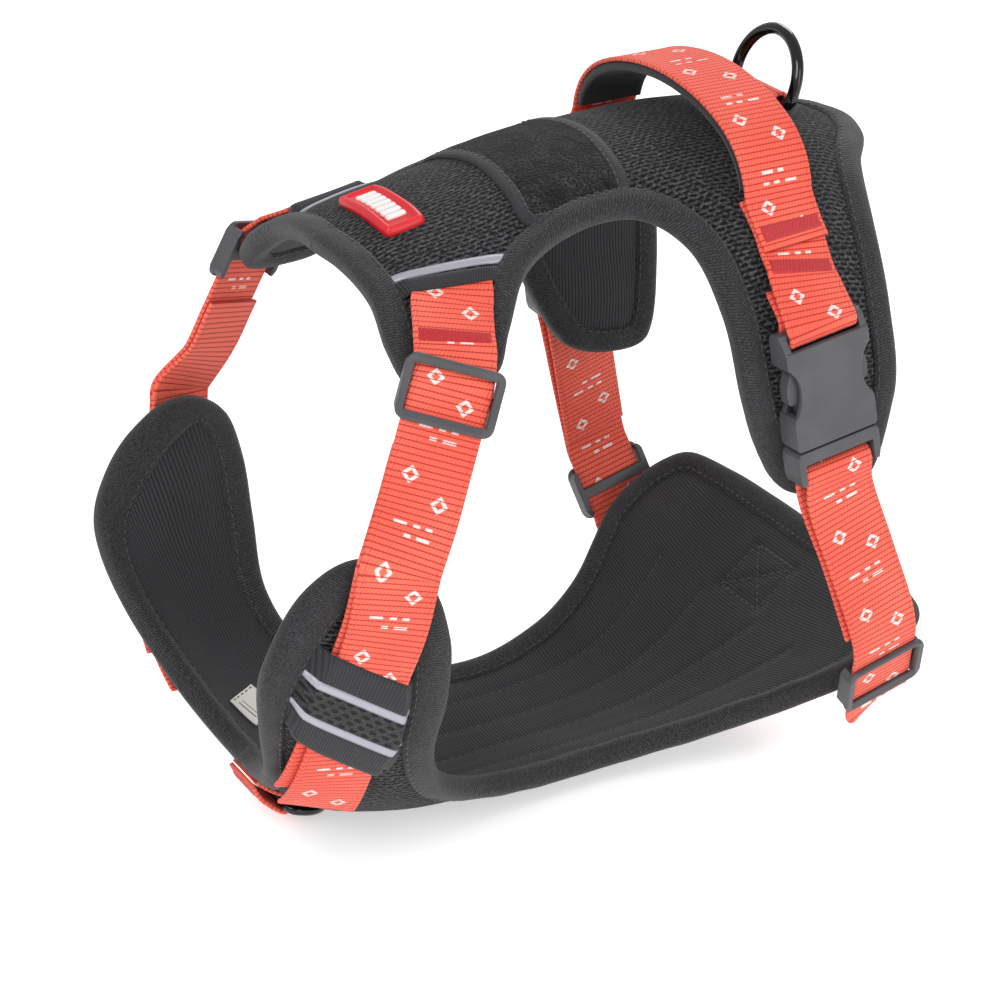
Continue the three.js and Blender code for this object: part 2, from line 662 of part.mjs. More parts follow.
// Girth straps: an upper loop from the back to the buckle, and a doubled strap from the buckle through
// the slider to the outer face of the rear chest wing.
const GIRTH = {
  centre: [87.6, 100.2, -52.6],
  down: [-0.38, 0.22, -0.898],
  outward: [0.925, 0.09, -0.369],
};
const GIRTH_FOLD_REACH = 3.3;
const GIRTH_INNER = [[91.2, 94.4, -31], [86.4, 87, -4], [80.8, 79.8, 20.2]];
const GIRTH_OUTER = [[86.4, 79.8, 20.2], [90.4, 87, -4], [94.2, 94.6, -29]];

// Stations of a strap folded round a buckle bar that lies the given distance down the buckle.
function fold(down, turns) {
  return turns.map((degrees) => {
    const t = THREE.MathUtils.degToRad(degrees);
    const centre = along(BUCKLE_SEAT, down).p;
    const [deeper, outer] = [GIRTH_FOLD_REACH * Math.sin(t), GIRTH_FOLD_REACH * Math.cos(t)];
    const { p } = along(BUCKLE_SEAT, down + deeper, outer);
    return { p, n: p.clone().sub(centre).normalize() };
  });
}

function girthUpper() {
  const outer = laid(onBack, [[64, 73.2, 1.6], [73, 72.6, 1.9], [80, 71.4, 4.6]]);
  const { p, n } = station(onBack, 83, 70.6, 2);
  return strap([...outer, ...fold(0.7, [-40, 0, 45, 90, 135, 180, 205]), { p, n: n.negate() }]);
}

function girthLower() {
  const facing = (points, x) => points.map((c) => {
    return { p: new THREE.Vector3(...c), n: new THREE.Vector3(x, 0, 0) };
  });
  const turn = fold(MOUTH + GAP + 10.5, [180, 225, 270, 315, 360]);
  const through = [-16, -11, 11, 16].map((d) => along(GIRTH, d));
  const under = laid(onChest, [[66, 226, 7], [52, 228, 3], [36, 230, 1.8], [4, 231, 1.8]]);
  return strap([...facing(GIRTH_INNER, -1), ...turn, ...facing(GIRTH_OUTER, 1), ...through, ...under]);
}

function girth() {
  addPair('girth_strap_upper', girthUpper(), 'webbing');
  addPair('girth_strap_lower', girthLower(), 'webbing');
  addPair('girth_slider', seat(slider(), GIRTH), 'plastic');
}

backPanel();
backTrims();
chestPlate();
wingTrims();
shoulders();
handle();
rings();
buckles();
girth();

// Stands the harness on the floor, centred fore and aft.
const box = new THREE.Box3().setFromObject(harness);
harness.position.set(0, -(box.min.y + box.max.y) / 2, -box.min.z);

export default group;
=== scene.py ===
"""Looks of a padded no-pull dog harness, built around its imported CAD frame.

Shapes are worked out in millimetres on the two body surfaces that the panels follow, the dog's back
and the dog's chest, and placed in the shared frame in metres at the end.
"""

import math

import bmesh
import bpy
import numpy as np
from mathutils import Matrix, Vector, geometry


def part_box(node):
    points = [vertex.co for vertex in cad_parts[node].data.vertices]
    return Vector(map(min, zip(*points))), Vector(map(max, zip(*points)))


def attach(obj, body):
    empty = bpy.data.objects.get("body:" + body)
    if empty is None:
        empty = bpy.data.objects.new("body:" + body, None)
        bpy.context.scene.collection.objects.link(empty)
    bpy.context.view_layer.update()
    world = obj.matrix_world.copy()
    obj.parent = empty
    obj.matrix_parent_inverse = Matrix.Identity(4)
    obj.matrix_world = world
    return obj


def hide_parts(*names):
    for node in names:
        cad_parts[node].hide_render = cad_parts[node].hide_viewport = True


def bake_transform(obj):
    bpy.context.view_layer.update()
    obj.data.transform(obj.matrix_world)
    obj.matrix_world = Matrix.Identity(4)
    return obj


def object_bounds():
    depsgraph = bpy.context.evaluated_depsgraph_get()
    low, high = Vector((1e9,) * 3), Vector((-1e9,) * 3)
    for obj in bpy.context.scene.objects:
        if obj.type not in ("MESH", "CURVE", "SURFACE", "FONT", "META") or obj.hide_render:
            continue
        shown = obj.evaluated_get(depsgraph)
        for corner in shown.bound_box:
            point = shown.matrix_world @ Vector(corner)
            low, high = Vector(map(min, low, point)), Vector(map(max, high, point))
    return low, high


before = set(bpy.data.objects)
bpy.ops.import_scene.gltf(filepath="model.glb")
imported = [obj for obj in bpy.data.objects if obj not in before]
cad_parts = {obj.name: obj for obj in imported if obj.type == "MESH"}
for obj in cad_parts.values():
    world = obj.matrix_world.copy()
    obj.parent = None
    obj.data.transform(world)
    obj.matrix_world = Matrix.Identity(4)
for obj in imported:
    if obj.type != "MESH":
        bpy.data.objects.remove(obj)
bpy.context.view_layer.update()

# The surfaces below have their own origin; the handle's top tells how far that is from the frame's.
HANDLE_MIDDLE_Y = 73
HANDLE_TOP_Z = 144.7
handle_low, handle_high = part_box("handle_webbing")
SHIFT = np.array([
    0,
    (handle_low.y + handle_high.y) * 500 - HANDLE_MIDDLE_Y,
    handle_high.z * 1000 - HANDLE_TOP_Z,
])

WEB_WIDTH = 26
WEB_THICK = 1.4
BINDING_WIDTH = 9.5
PAD_THICK = 4.6
MALE_TOP = 40.4
RING_SPACING = 0.8


# ---------------------------------------------------------------- surfaces

def smooth(xs, ys):
    """Smooth line through given values: a cubic with slopes taken from the neighbours."""
    xs, ys = np.array(xs, float), np.array(ys, float)
    count = len(xs)
    low = np.maximum(np.arange(count) - 1, 0)
    high = np.minimum(np.arange(count) + 1, count - 1)
    slope = (ys[high] - ys[low]) / (xs[high] - xs[low])

    def at(x):
        x = np.asarray(x, float)
        i = np.clip(np.searchsorted(xs, x) - 1, 0, count - 2)
        h = xs[i + 1] - xs[i]
        t = np.clip((x - xs[i]) / h, 0, 1)
        value = ys[i] * (1 + 2 * t) * (1 - t) ** 2 + ys[i + 1] * t * t * (3 - 2 * t)
        value += h * (slope[i] * t * (1 - t) ** 2 - slope[i + 1] * t * t * (1 - t))
        value += slope[0] * np.minimum(x - xs[0], 0) + slope[-1] * np.maximum(x - xs[-1], 0)
        return value

    return at


def run_along(line):
    """Distance from the start of a line to each of its points."""
    return np.concatenate([[0], np.cumsum(np.linalg.norm(np.diff(line, axis=0), axis=1))])


def read_at(at, run, rows):
    """Rows of numbers, known at each run, read off at other places."""
    return np.stack([np.interp(at, run, column) for column in np.asarray(rows).T], -1)


def walk(reach, angle_at, steps=24):
    """Sideways and upward distance covered along an arc whose angle depends on the distance walked."""
    x = np.zeros_like(reach)
    z = np.zeros_like(reach)
    for i in range(steps):
        angle = angle_at((i + 0.5) / steps * reach)
        x += np.cos(angle) * reach / steps
        z += np.sin(angle) * reach / steps
    return x, z


ridge = smooth([-75, -42, -20, 10, 40, 80, 110, 138], [108.5, 113.6, 118, 124.5, 127, 127, 123, 116])
BACK_TURN = math.radians(97)  # how far the back's section turns down, over BACK_ROUND of its width
BACK_ROUND = 125


def back_point(s, y):
    x, drop = walk(np.abs(s), lambda r: BACK_TURN * np.minimum(r / BACK_ROUND, 1) ** 1.1)
    return np.stack([np.sign(s) * x, y, ridge(y) - drop], -1)


CHEST_LINE = np.array([
    (-102, -74), (-90, -85), (-72, -93.5), (-48, -98), (0, -99), (45, -97), (70, -90), (90, -79.5),
    (109, -66.5), (125, -54), (137, -44)], float)
chest_run = run_along(CHEST_LINE)
chest_y = smooth(chest_run, CHEST_LINE[:, 0])
chest_z = smooth(chest_run, CHEST_LINE[:, 1])
chest_bend = smooth(
    [0, 30, 60, 105, 150, 190, 215, 261],
    [0.0177, 0.0177, 0.015, 0.0105, 0.01, 0.0065, 0.0045, 0.002])
chest_lean = smooth([0, 50, 100, 261], [0.279, 0.122, 0, 0])
CHEST_STEEP = 1.75


def chest_point(q, p):
    bend = chest_bend(p)
    x, rise = walk(np.abs(q), lambda r: CHEST_STEEP * np.tanh(bend * r / CHEST_STEEP))
    lean = chest_lean(p)
    return np.stack([np.sign(q) * x, chest_y(p) - rise * np.sin(lean), chest_z(p) + rise * np.cos(lean)], -1)


def unit(v):
    v = np.asarray(v, float)
    return v / np.maximum(np.linalg.norm(v, axis=-1, keepdims=True), 1e-12)


def lifted(point, turn):
    """Turns a surface of points into one that also takes a lift along its outward side."""
    def at(u, v, lift=0.0):
        u, v, lift = np.broadcast_arrays(np.asarray(u, float), np.asarray(v, float), np.asarray(lift, float))
        along_u = point(u + 0.5, v) - point(u - 0.5, v)
        along_v = point(u, v + 0.5) - point(u, v - 0.5)
        return point(u, v) + turn * lift[..., None] * unit(np.cross(along_u, along_v))
    return at


on_back = lifted(back_point, 1)
on_chest = lifted(chest_point, -1)


def normal_on(surface, u, v):
    return unit(surface(u, v, 1.0) - surface(u, v, 0.0))


# ---------------------------------------------------------------- lines and outlines

def spline(points, spacing, closed=False):
    """Evenly spaced points on a centripetal Catmull-Rom curve through the given points."""
    points = np.array(points, float)
    if closed:
        ends = [points[-1:], points, points[:2]]
    else:
        ends = [2 * points[:1] - points[1:2], points, 2 * points[-1:] - points[-2:-1]]
    p = np.concatenate(ends)
    rows = []
    for p0, p1, p2, p3 in zip(p, p[1:], p[2:], p[3:]):
        k0 = 0.0
        k1 = k0 + np.linalg.norm(p1 - p0) ** 0.5
        k2 = k1 + np.linalg.norm(p2 - p1) ** 0.5
        k3 = k2 + np.linalg.norm(p3 - p2) ** 0.5
        t = np.linspace(k1, k2, 24, endpoint=False)[:, None]
        a1 = (k1 - t) / (k1 - k0) * p0 + (t - k0) / (k1 - k0) * p1
        a2 = (k2 - t) / (k2 - k1) * p1 + (t - k1) / (k2 - k1) * p2
        a3 = (k3 - t) / (k3 - k2) * p2 + (t - k2) / (k3 - k2) * p3
        b1 = (k2 - t) / (k2 - k0) * a1 + (t - k0) / (k2 - k0) * a2
        b2 = (k3 - t) / (k3 - k1) * a2 + (t - k1) / (k3 - k1) * a3
        rows.append((k2 - t) / (k2 - k1) * b1 + (t - k1) / (k2 - k1) * b2)
    rows.append(points[:1] if closed else points[-1:])
    return resample(np.concatenate(rows), spacing, closed)


def resample(line, spacing, closed=False):
    run = run_along(line)
    at = np.linspace(0, run[-1], max(2, round(run[-1] / spacing)) + 1)
    return read_at(at[:-1] if closed else at, run, line)


def outline_of(half, spacing):
    left = [(-u, v) for u, v in reversed(half) if u > 0]
    return spline(list(half) + left, spacing, closed=True)


def line_distance(points, line):
    """Distance from each point to an open line."""
    best = np.full(len(points), 1e9)
    for a, b in zip(line, line[1:]):
        d = b - a
        t = np.clip(((points - a) @ d) / (d @ d), 0, 1)
        best = np.minimum(best, np.linalg.norm(points - a - t[:, None] * d, axis=1))
    return best


def edge_distance(points, outline):
    return line_distance(points, np.concatenate([outline, outline[:1]]))


def inside(points, outline):
    odd = np.zeros(len(points), bool)
    for a, b in zip(outline, np.roll(outline, -1, 0)):
        crosses = (a[1] > points[:, 1]) != (b[1] > points[:, 1])
        if crosses.any():
            x = a[0] + (b[0] - a[0]) * (points[:, 1] - a[1]) / (b[1] - a[1] + 1e-12)
            odd ^= crosses & (points[:, 0] < x)
    return odd


def inset(outline, depth):
    """The outline moved inwards, with folded stretches drawn together at tight outward bends."""
    along = unit(np.roll(outline, -1, 0) - np.roll(outline, 1, 0))
    x, y = outline.T
    turn = np.sign(np.sum(x * np.roll(y, -1) - np.roll(x, -1) * y))
    moved = outline + turn * depth * np.stack([-along[:, 1], along[:, 0]], -1)
    good = edge_distance(moved, outline) > abs(depth) - 0.2
    index = np.arange(len(outline))
    around = np.concatenate([index[good] + turn for turn in (-len(index), 0, len(index))])
    return read_at(index, around, np.concatenate([moved[good]] * 3))


# ---------------------------------------------------------------- meshes

def place_in_scene(name, data):
    made = bpy.data.objects.new(name, data)
    bpy.context.scene.collection.objects.link(made)
    return made


def closed_mesh(name, points, faces):
    """A mesh from points in metres, with its faces turned outwards."""
    mesh = bpy.data.meshes.new(name)
    mesh.from_pydata(np.asarray(points).tolist(), [], [tuple(map(int, f)) for f in faces])
    bm = bmesh.new()
    bm.from_mesh(mesh)
    bmesh.ops.recalc_face_normals(bm, faces=bm.faces)
    bm.to_mesh(mesh)
    bm.free()
    return mesh


def mesh_object(name, points, faces, uv, material):
    """A smooth closed piece; points and uv, one for each point, are in millimetres."""
    mesh = closed_mesh(name, (np.asarray(points) + SHIFT) / 1000, faces)
    corners = np.zeros(len(mesh.loops), int)
    mesh.loops.foreach_get("vertex_index", corners)
    mesh.uv_layers.new(name="UVMap").data.foreach_set("uv", (np.asarray(uv, float)[corners] / 100).ravel())
    mesh.polygons.foreach_set("use_smooth", [True] * len(mesh.polygons))
    mesh.materials.append(material)
    return place_in_scene(name, mesh)


def grid_faces(rows, columns, wrap_rows=False, wrap_columns=False):
    i, j = np.meshgrid(
        np.arange(rows if wrap_rows else rows - 1),
        np.arange(columns if wrap_columns else columns - 1), indexing="ij")
    i, j = i.ravel(), j.ravel()
    i2, j2 = (i + 1) % rows, (j + 1) % columns
    return np.stack([i * columns + j, i * columns + j2, i2 * columns + j2, i2 * columns + j], -1).tolist()


def capped_faces(rows, sides):
    """Faces of a tube of rings with both ends closed."""
    caps = [list(range(first, first + sides)) for first in (0, (rows - 1) * sides)]
    return grid_faces(rows, sides, False, True) + caps


def loft(name, rings, uv_across, uv_along, material, closed=False):
    """A closed solid through rings of points (rows, sides, 3)."""
    rows, sides, _ = rings.shape
    faces = grid_faces(rows, sides, True, True) if closed else capped_faces(rows, sides)
    across, far = np.broadcast_arrays(uv_across, np.asarray(uv_along)[:, None])
    uv = np.stack([across, far], -1).reshape(-1, 2)
    return mesh_object(name, rings.reshape(-1, 3), faces, uv, material)


def slab(name, top, bottom, uv, material):
    """A closed thin piece between two grids of points (rows, columns, 3)."""
    rows, columns, _ = top.shape
    count = rows * columns
    face = np.array(grid_faces(rows, columns))
    faces = face.tolist() + (face[:, ::-1] + count).tolist()
    index = np.arange(count).reshape(rows, columns)
    rim = np.concatenate([index[0], index[1:, -1], index[-1, -2::-1], index[-2:0:-1, 0]])
    faces += [[a, b, b + count, a + count] for a, b in zip(rim, np.roll(rim, -1))]
    points = np.concatenate([top.reshape(-1, 3), bottom.reshape(-1, 3)])
    flat = uv.reshape(-1, 2)
    return mesh_object(name, points, faces, np.concatenate([flat, flat]), material)


def filled(outline, cell, loops=()):
    """Points and triangles of the area inside an outline, with extra points on the given inner loops."""
    low, high = outline.min(0), outline.max(0)
    rows = np.arange(low[1], high[1], cell * 0.866)
    half = np.ceil(max(abs(low[0]), abs(high[0])) / cell)
    columns = np.arange(-half, half + 1) * cell
    x, y = np.meshgrid(columns, rows)
    x = x + (np.arange(len(rows)) % 2)[:, None] * cell / 2
    points = np.stack([x.ravel(), y.ravel()], -1)
    points = points[inside(points, outline)]
    keep = edge_distance(points, outline) > cell * 0.6
    for loop in loops:
        keep &= edge_distance(points, loop) > cell * 0.5
    extra = [resample(np.concatenate([loop, loop[:1]]), cell, True) for loop in loops]
    points = np.concatenate([outline, *extra, points[keep]])
    count = len(outline)
    edges = [(i, (i + 1) % count) for i in range(count)]
    flat = [Vector(p) for p in points]
    found = geometry.delaunay_2d_cdt(flat, edges, [], 1, 1e-5)
    return np.array([tuple(v) for v in found[0]]), found[2]


def layer(name, outline, surface, low, high, material, cell=3.0, loops=()):
    """A closed piece of cloth or foam with the outline given; low and high take (u, v) and give lifts."""
    flat, faces = filled(outline, cell, loops)
    u, v = flat.T
    top = surface(u, v, high(u, v) if callable(high) else high)
    bottom = surface(u, v, low(u, v) if callable(low) else low)
    count = len(flat)
    used = {pair: True for f in faces for pair in zip(f, f[1:] + f[:1])}
    every = [list(f) for f in faces] + [[k + count for k in reversed(f)] for f in faces]
    every += [[b, a, a + count, b + count] for a, b in used if (b, a) not in used]
    return mesh_object(name, np.concatenate([top, bottom]), every, np.concatenate([flat, flat]), material)


def mirrored(piece, name):
    """The right-hand twin of a left-hand piece."""
    mesh = piece.data.copy()
    mesh.name = name
    mesh.transform(Matrix.Diagonal((-1, 1, 1, 1)))
    mesh.flip_normals()
    return place_in_scene(name, mesh)


def stitches(name, path, normals, material, pitch=3.2, length=2.3, radius=0.34):
    """A row of short thread stitches along a path of points, standing a little proud."""
    run = run_along(path)
    at = np.arange(pitch / 2, run[-1], pitch)
    centre = read_at(at, run, path)
    normal = unit(read_at(at, run, normals))
    along = unit(read_at(at + 0.3, run, path) - read_at(at - 0.3, run, path))
    side = unit(np.cross(normal, along))
    sections = [(-0.5, 0.25, -0.3), (-0.36, 0.85, 0), (0, 1, 0.25), (0.36, 0.85, 0), (0.5, 0.25, -0.3)]
    sides = 6
    size = len(sections) * sides
    around = np.linspace(0, 2 * np.pi, sides, endpoint=False)[None, :, None]
    rings = []
    for shift, wide, rise in sections:
        middle = centre + along * shift * length + normal * rise * radius
        turn = side[:, None, :] * np.cos(around) + normal[:, None, :] * np.sin(around)
        rings.append(middle[:, None, :] + turn * radius * wide)
    block = capped_faces(len(sections), sides)
    starts = size * np.arange(len(at))[:, None, None]
    walls = (np.array(block[:-2]) + starts).reshape(-1, 4).tolist()
    caps = (np.array(block[-2:]) + starts).reshape(-1, sides).tolist()
    uv = np.repeat(at, size)[:, None] * np.ones(2)
    return mesh_object(name, np.stack(rings, 1).reshape(-1, 3), walls + caps, uv, material)


# ---------------------------------------------------------------- materials

class Value:
    """A number in a material's node tree; arithmetic on it adds math nodes."""

    def __init__(self, graph, socket):
        self.graph, self.socket = graph, socket

    def __add__(self, other):
        return self.graph.math("ADD", self, other)

    def __sub__(self, other):
        return self.graph.math("SUBTRACT", self, other)

    def __mul__(self, other):
        return self.graph.math("MULTIPLY", self, other)

    def __truediv__(self, other):
        return self.graph.math("DIVIDE", self, other)

    def __mod__(self, other):
        return self.graph.math("FLOORED_MODULO", self, other)

    def __abs__(self):
        return self.graph.math("ABSOLUTE", self)


class Graph:
    """Short names for the shader nodes that the materials below are made of."""

    def __init__(self, name, roughness=0.8, metallic=0.0, sheen=0.0, specular=0.5, coat=0.0):
        self.material = bpy.data.materials.new(name)
        self.material.use_nodes = True
        self.tree = self.material.node_tree
        self.shader = self.tree.nodes["Principled BSDF"]
        settings = {
            "Roughness": roughness, "Metallic": metallic, "Sheen Weight": sheen,
            "Specular IOR Level": specular, "Coat Weight": coat,
        }
        for socket, value in settings.items():
            self.shader.inputs[socket].default_value = value

    def node(self, kind, values=(), output=0, **settings):
        made = self.tree.nodes.new(kind)
        for key, value in settings.items():
            setattr(made, key, value)
        for socket, value in dict(values).items():
            self.feed(made.inputs[socket], value)
        return Value(self, made.outputs[output])

    def feed(self, socket, value):
        if isinstance(value, Value):
            self.tree.links.new(value.socket, socket)
        elif isinstance(value, tuple) and len(value) == 3 and socket.type == "RGBA":
            socket.default_value = (*value, 1)
        else:
            socket.default_value = value

    def math(self, operation, *values):
        return self.node("ShaderNodeMath", enumerate(values), operation=operation)

    def step(self, value, low, high):
        values = {"Value": value, "From Min": low, "From Max": high}
        return self.node("ShaderNodeMapRange", values, interpolation_type="SMOOTHSTEP")

    def mix(self, share, a, b):
        return self.node("ShaderNodeMix", {0: share, 6: a, 7: b}, output=2, data_type="RGBA")

    def across(self):
        """The cloth's own coordinates in millimetres."""
        uv = self.node("ShaderNodeUVMap", uv_map="UVMap")
        return [self.node("ShaderNodeSeparateXYZ", {0: uv}, output=k) * 100.0 for k in (0, 1)]

    def noise(self, scale, detail=2.0, roughness=0.5):
        place = self.node("ShaderNodeTexCoord", output="Object")
        values = {"Vector": place, "Scale": scale, "Detail": detail, "Roughness": roughness}
        return self.node("ShaderNodeTexNoise", values)

    def wave(self, value, pitch):
        """A ridge profile from 0 to 1 that repeats every pitch millimetres."""
        return abs(self.math("SINE", value * (math.pi / pitch)))

    def dimples(self, u, v, across, along, wide, long):
        """Squared distance to the nearest of staggered oval dimples; wide and long set how small they are."""
        row = self.math("FLOOR", u / across)
        x = self.math("FRACT", u / across) - 0.5
        y = self.math("FRACT", (v + row % 2.0 * (along / 2)) / along) - 0.5
        return self.math("POWER", x * wide, 2.0) + self.math("POWER", y * long, 2.0)

    def surface(self, colour, height=None, depth=0.0005, strength=0.6, roughness=None):
        self.feed(self.shader.inputs["Base Color"], colour)
        if roughness is not None:
            self.feed(self.shader.inputs["Roughness"], roughness)
        if height is not None:
            bump = self.node("ShaderNodeBump", {"Height": height, "Distance": depth, "Strength": strength})
            self.feed(self.shader.inputs["Normal"], bump)
        return self.material


def air_mesh():
    """Knitted spacer mesh: wavy rows of long dimples along the back, painted near black inside as shade."""
    g = Graph("air_mesh", roughness=0.88, sheen=0.06, specular=0.25)
    u, v = g.across()
    wavy = u + g.noise(120) * 3.0
    hole = g.step(g.dimples(wavy, v, 1.75, 3.5, 3.2, 2.15), 1.3, 0.4)
    fibre = g.noise(900, 3, 0.75)
    shade = g.mix(g.step(fibre, 0.35, 0.72), (0.006, 0.006, 0.007), (0.11, 0.11, 0.118))
    # Painted shade: the dimples are mixed to a near black colour (0.002) over the fibre colour.
    return g.surface(g.mix(hole, shade, (0.002, 0.002, 0.003)), fibre * 0.5 - hole, 0.0009, 0.8)


def open_mesh():
    """Open mesh window: a net with staggered round holes, painted near black inside as shade."""
    g = Graph("open_mesh", roughness=0.8, sheen=0.1, specular=0.35)
    u, v = g.across()
    hole = g.step(g.dimples(u, v, 2.6, 3.8, 2.7, 2.9), 1.1, 0.5)
    fibre = g.noise(1300, 3, 0.7)
    net = g.mix(g.step(fibre, 0.3, 0.75), (0.01, 0.01, 0.012), (0.06, 0.06, 0.065))
    # Painted shade: the holes are mixed to a near black colour (0.001) over the net colour.
    return g.surface(g.mix(hole, net, (0.001, 0.001, 0.001)), fibre * 0.4 - hole, 0.0012, 0.9)


def lining_knit():
    """Black knit with fine parallel ribs, with painted shade in the grooves between them."""
    g = Graph("lining_knit", roughness=0.8, sheen=0.1, specular=0.3)
    u, v = g.across()
    ribs = g.wave(v + g.noise(25, 1) * 3.0, 1.25)
    height = ribs + g.wave(u, 0.9) * 0.25 + g.noise(1600, 2, 0.7) * 0.3
    lit = g.mix(g.step(g.noise(18), 0.3, 0.7), (0.045, 0.045, 0.05), (0.0324, 0.0324, 0.036))
    # Painted shade: rib grooves are mixed to a near black colour (0.003), the crests take the lit colour.
    return g.surface(g.mix(ribs, (0.003, 0.003, 0.004), lit), height, 0.00035, 0.7)


def edge_twill():
    """Edge tape with fine cross ribs and a slight herringbone, with painted shade in the grooves between the
    ribs.
    """
    g = Graph("edge_twill", roughness=0.75, sheen=0.15, specular=0.35)
    u, v = g.across()
    ribs = g.wave(v + abs(u - 6.0) * 0.35, 1.0)
    fibre = g.noise(1500, 2, 0.7)
    dark = (0.005, 0.005, 0.006)
    shade = g.mix(g.step(fibre, 0.3, 0.75), dark, (0.062, 0.062, 0.068))
    # Painted shade: rib grooves are mixed to the dark colour, the crests take the fibre colour.
    return g.surface(g.mix(ribs, dark, shade), ribs + fibre * 0.5, 0.0003, 0.6)


def ribbon_grosgrain():
    g = Graph("ribbon_grosgrain", roughness=0.7, sheen=0.1, specular=0.35)
    u, v = g.across()
    ribs = g.wave(v, 0.95)
    fibre = g.noise(1500, 2, 0.6)
    dark = (0.009, 0.009, 0.011)
    shade = g.mix(fibre, dark, (0.05, 0.05, 0.056))
    # Painted shade: rib grooves are mixed to the dark colour, the crests take the fibre colour.
    return g.surface(g.mix(ribs, dark, shade), ribs + fibre * 0.4, 0.0003, 0.6)


def loop_pile():
    g = Graph("loop_pile", roughness=0.95, sheen=0.08, specular=0.15)
    place = g.node("ShaderNodeTexCoord", output="Object")
    cells = g.node("ShaderNodeTexVoronoi", {"Vector": place, "Scale": 900.0}, feature="F1")
    fibre = g.noise(1300, 4, 0.75)
    shade = g.mix(g.step(fibre, 0.42, 0.72), (0.003, 0.003, 0.004), (0.085, 0.085, 0.09))
    colour = g.mix(g.step(g.noise(160), 0.35, 0.7), shade, (0.008, 0.008, 0.009))
    return g.surface(colour, cells * 0.8 + fibre, 0.0008, 0.9)


PRINT_PITCH = 31.0
DIAMONDS = [(-5.5, 6.0), (5.5, 13.5)]
DASHES = [(-4.8, 21.5, 2.1), (0.6, 21.5, 1.1), (4.6, 21.5, 1.1), (-1.5, 25.0, 1.1), (3.6, 25.0, 2.1)]


def print_mask(g, u, v):
    """Plain print of diamonds and dashes along the webbing."""
    place = v % PRINT_PITCH
    mask = None
    for across, along, wide in [(*d, 2.7) for d in DIAMONDS] + DASHES:
        is_diamond = (across, along) in DIAMONDS
        a = abs(u - across) / wide
        b = abs(place - along) / (wide if is_diamond else 0.55)
        if is_diamond:
            mark = g.step(abs(a + b - 0.8), 0.34, 0.2)
        else:
            mark = g.step(g.math("MAXIMUM", a, b), 1.15, 0.85)
        mask = mark if mask is None else g.math("MAXIMUM", mask, mark)
    return mask


def webbing(name, printed):
    """Coral webbing: cross ribs of small slanted stitches, with painted shade in the grooves between the ribs
    and beside the selvedges, with or without its white print.
    """
    g = Graph(name, roughness=0.66, sheen=0.06, specular=0.35)
    u, v = g.across()
    rib = v / 2.0
    slant = (g.math("FRACT", rib) - 0.5) * 0.9
    stagger = g.math("FLOOR", rib) % 2.0 * 0.6
    knots = g.wave(u + slant + stagger, 1.2)
    selvedge = g.step(abs(abs(u) - 11.3), 0.0, 0.35)
    body = g.step(g.wave(v, 2.0), 0.0, 0.6) * (knots * 0.6 + 0.4) * (selvedge * 0.4 + 0.6)
    fibre = g.noise(1700, 2, 0.6)
    crest = g.mix(g.step(g.noise(24), 0.3, 0.7), (0.88, 0.115, 0.07), (0.93, 0.165, 0.105))
    # Painted shade: low parts of the rib relief get a shaded copy of the coral (0.5, 0.022, 0.016), the
    # crests a lit copy.
    colour = g.mix(g.step(body, 0.02, 0.75), (0.5, 0.022, 0.016), crest)
    if printed:
        worn = g.step(fibre * 0.6 + body, 0.3, 0.75)
        colour = g.mix(print_mask(g, u, v) * worn, colour, (0.9, 0.72, 0.68))
    return g.surface(colour, body + fibre * 0.15, 0.0004, 0.6)


def bartack_thread():
    g = Graph("bartack_thread", roughness=0.5, sheen=0.2, specular=0.45)
    u, v = g.across()
    threads = g.wave(u + v * 0.35, 0.55)
    fibre = g.noise(1500, 2, 0.6)
    lit = g.mix(fibre, (0.62, 0.012, 0.02), (0.85, 0.03, 0.035))
    # Painted shade: gaps between the threads are mixed to a darker red (0.42, 0.005, 0.01), the threads take
    # the lit colour.
    return g.surface(g.mix(threads, (0.42, 0.005, 0.01), lit), threads + fibre * 0.5, 0.0004, 0.8)


def black_thread():
    g = Graph("black_thread", roughness=0.5, sheen=0.2)
    fibre = g.noise(1500, 2, 0.6)
    return g.surface(g.mix(fibre, (0.012, 0.012, 0.014), (0.05, 0.05, 0.055)), fibre, 0.0002, 0.5)


def reflective_film():
    g = Graph("reflective_film", roughness=0.32, metallic=0.25, specular=0.6)
    u, v = g.across()
    bead = g.noise(1900, 2, 0.6)
    cell = g.math("MINIMUM", g.wave(u + v, 0.7), g.wave(u - v, 0.7))
    colour = g.mix(g.noise(35), (0.33, 0.32, 0.38), (0.44, 0.43, 0.49))
    return g.surface(colour, cell * 0.4 + bead * 0.3, 0.00012, 0.4, bead * 0.25 + 0.25)


def rubber(name, colour, dark):
    g = Graph(name, roughness=0.4, specular=0.5, coat=0.1)
    blotch = g.noise(60)
    shade = g.mix(g.step(blotch, 0.3, 0.8), colour, dark)
    return g.surface(shade, g.noise(900, 3, 0.6), 0.00012, 0.35, blotch * 0.25 + 0.28)


def acetal():
    """Dark grey acetal: fine spark-eroded grain, edges rubbed smoother, with a painted highlight that makes
    sharp convex edges lighter.
    """
    g = Graph("acetal", roughness=0.45)
    blotch = g.noise(70, 3, 0.6)
    worn = g.step(g.node("ShaderNodeNewGeometry", output="Pointiness"), 0.52, 0.6)
    base = g.mix(g.step(blotch, 0.3, 0.7), (0.06, 0.06, 0.065), (0.076, 0.076, 0.082))
    # Painted highlight: sharp convex edges (high pointiness) are mixed towards a lighter grey (0.11); the
    # same mask only lowers roughness as real rubbing.
    colour = g.mix(worn * 0.35, base, (0.11, 0.11, 0.12))
    return g.surface(colour, g.noise(2600, 2, 0.6), 0.00008, 0.35, blotch * 0.12 + worn * -0.12 + 0.42)


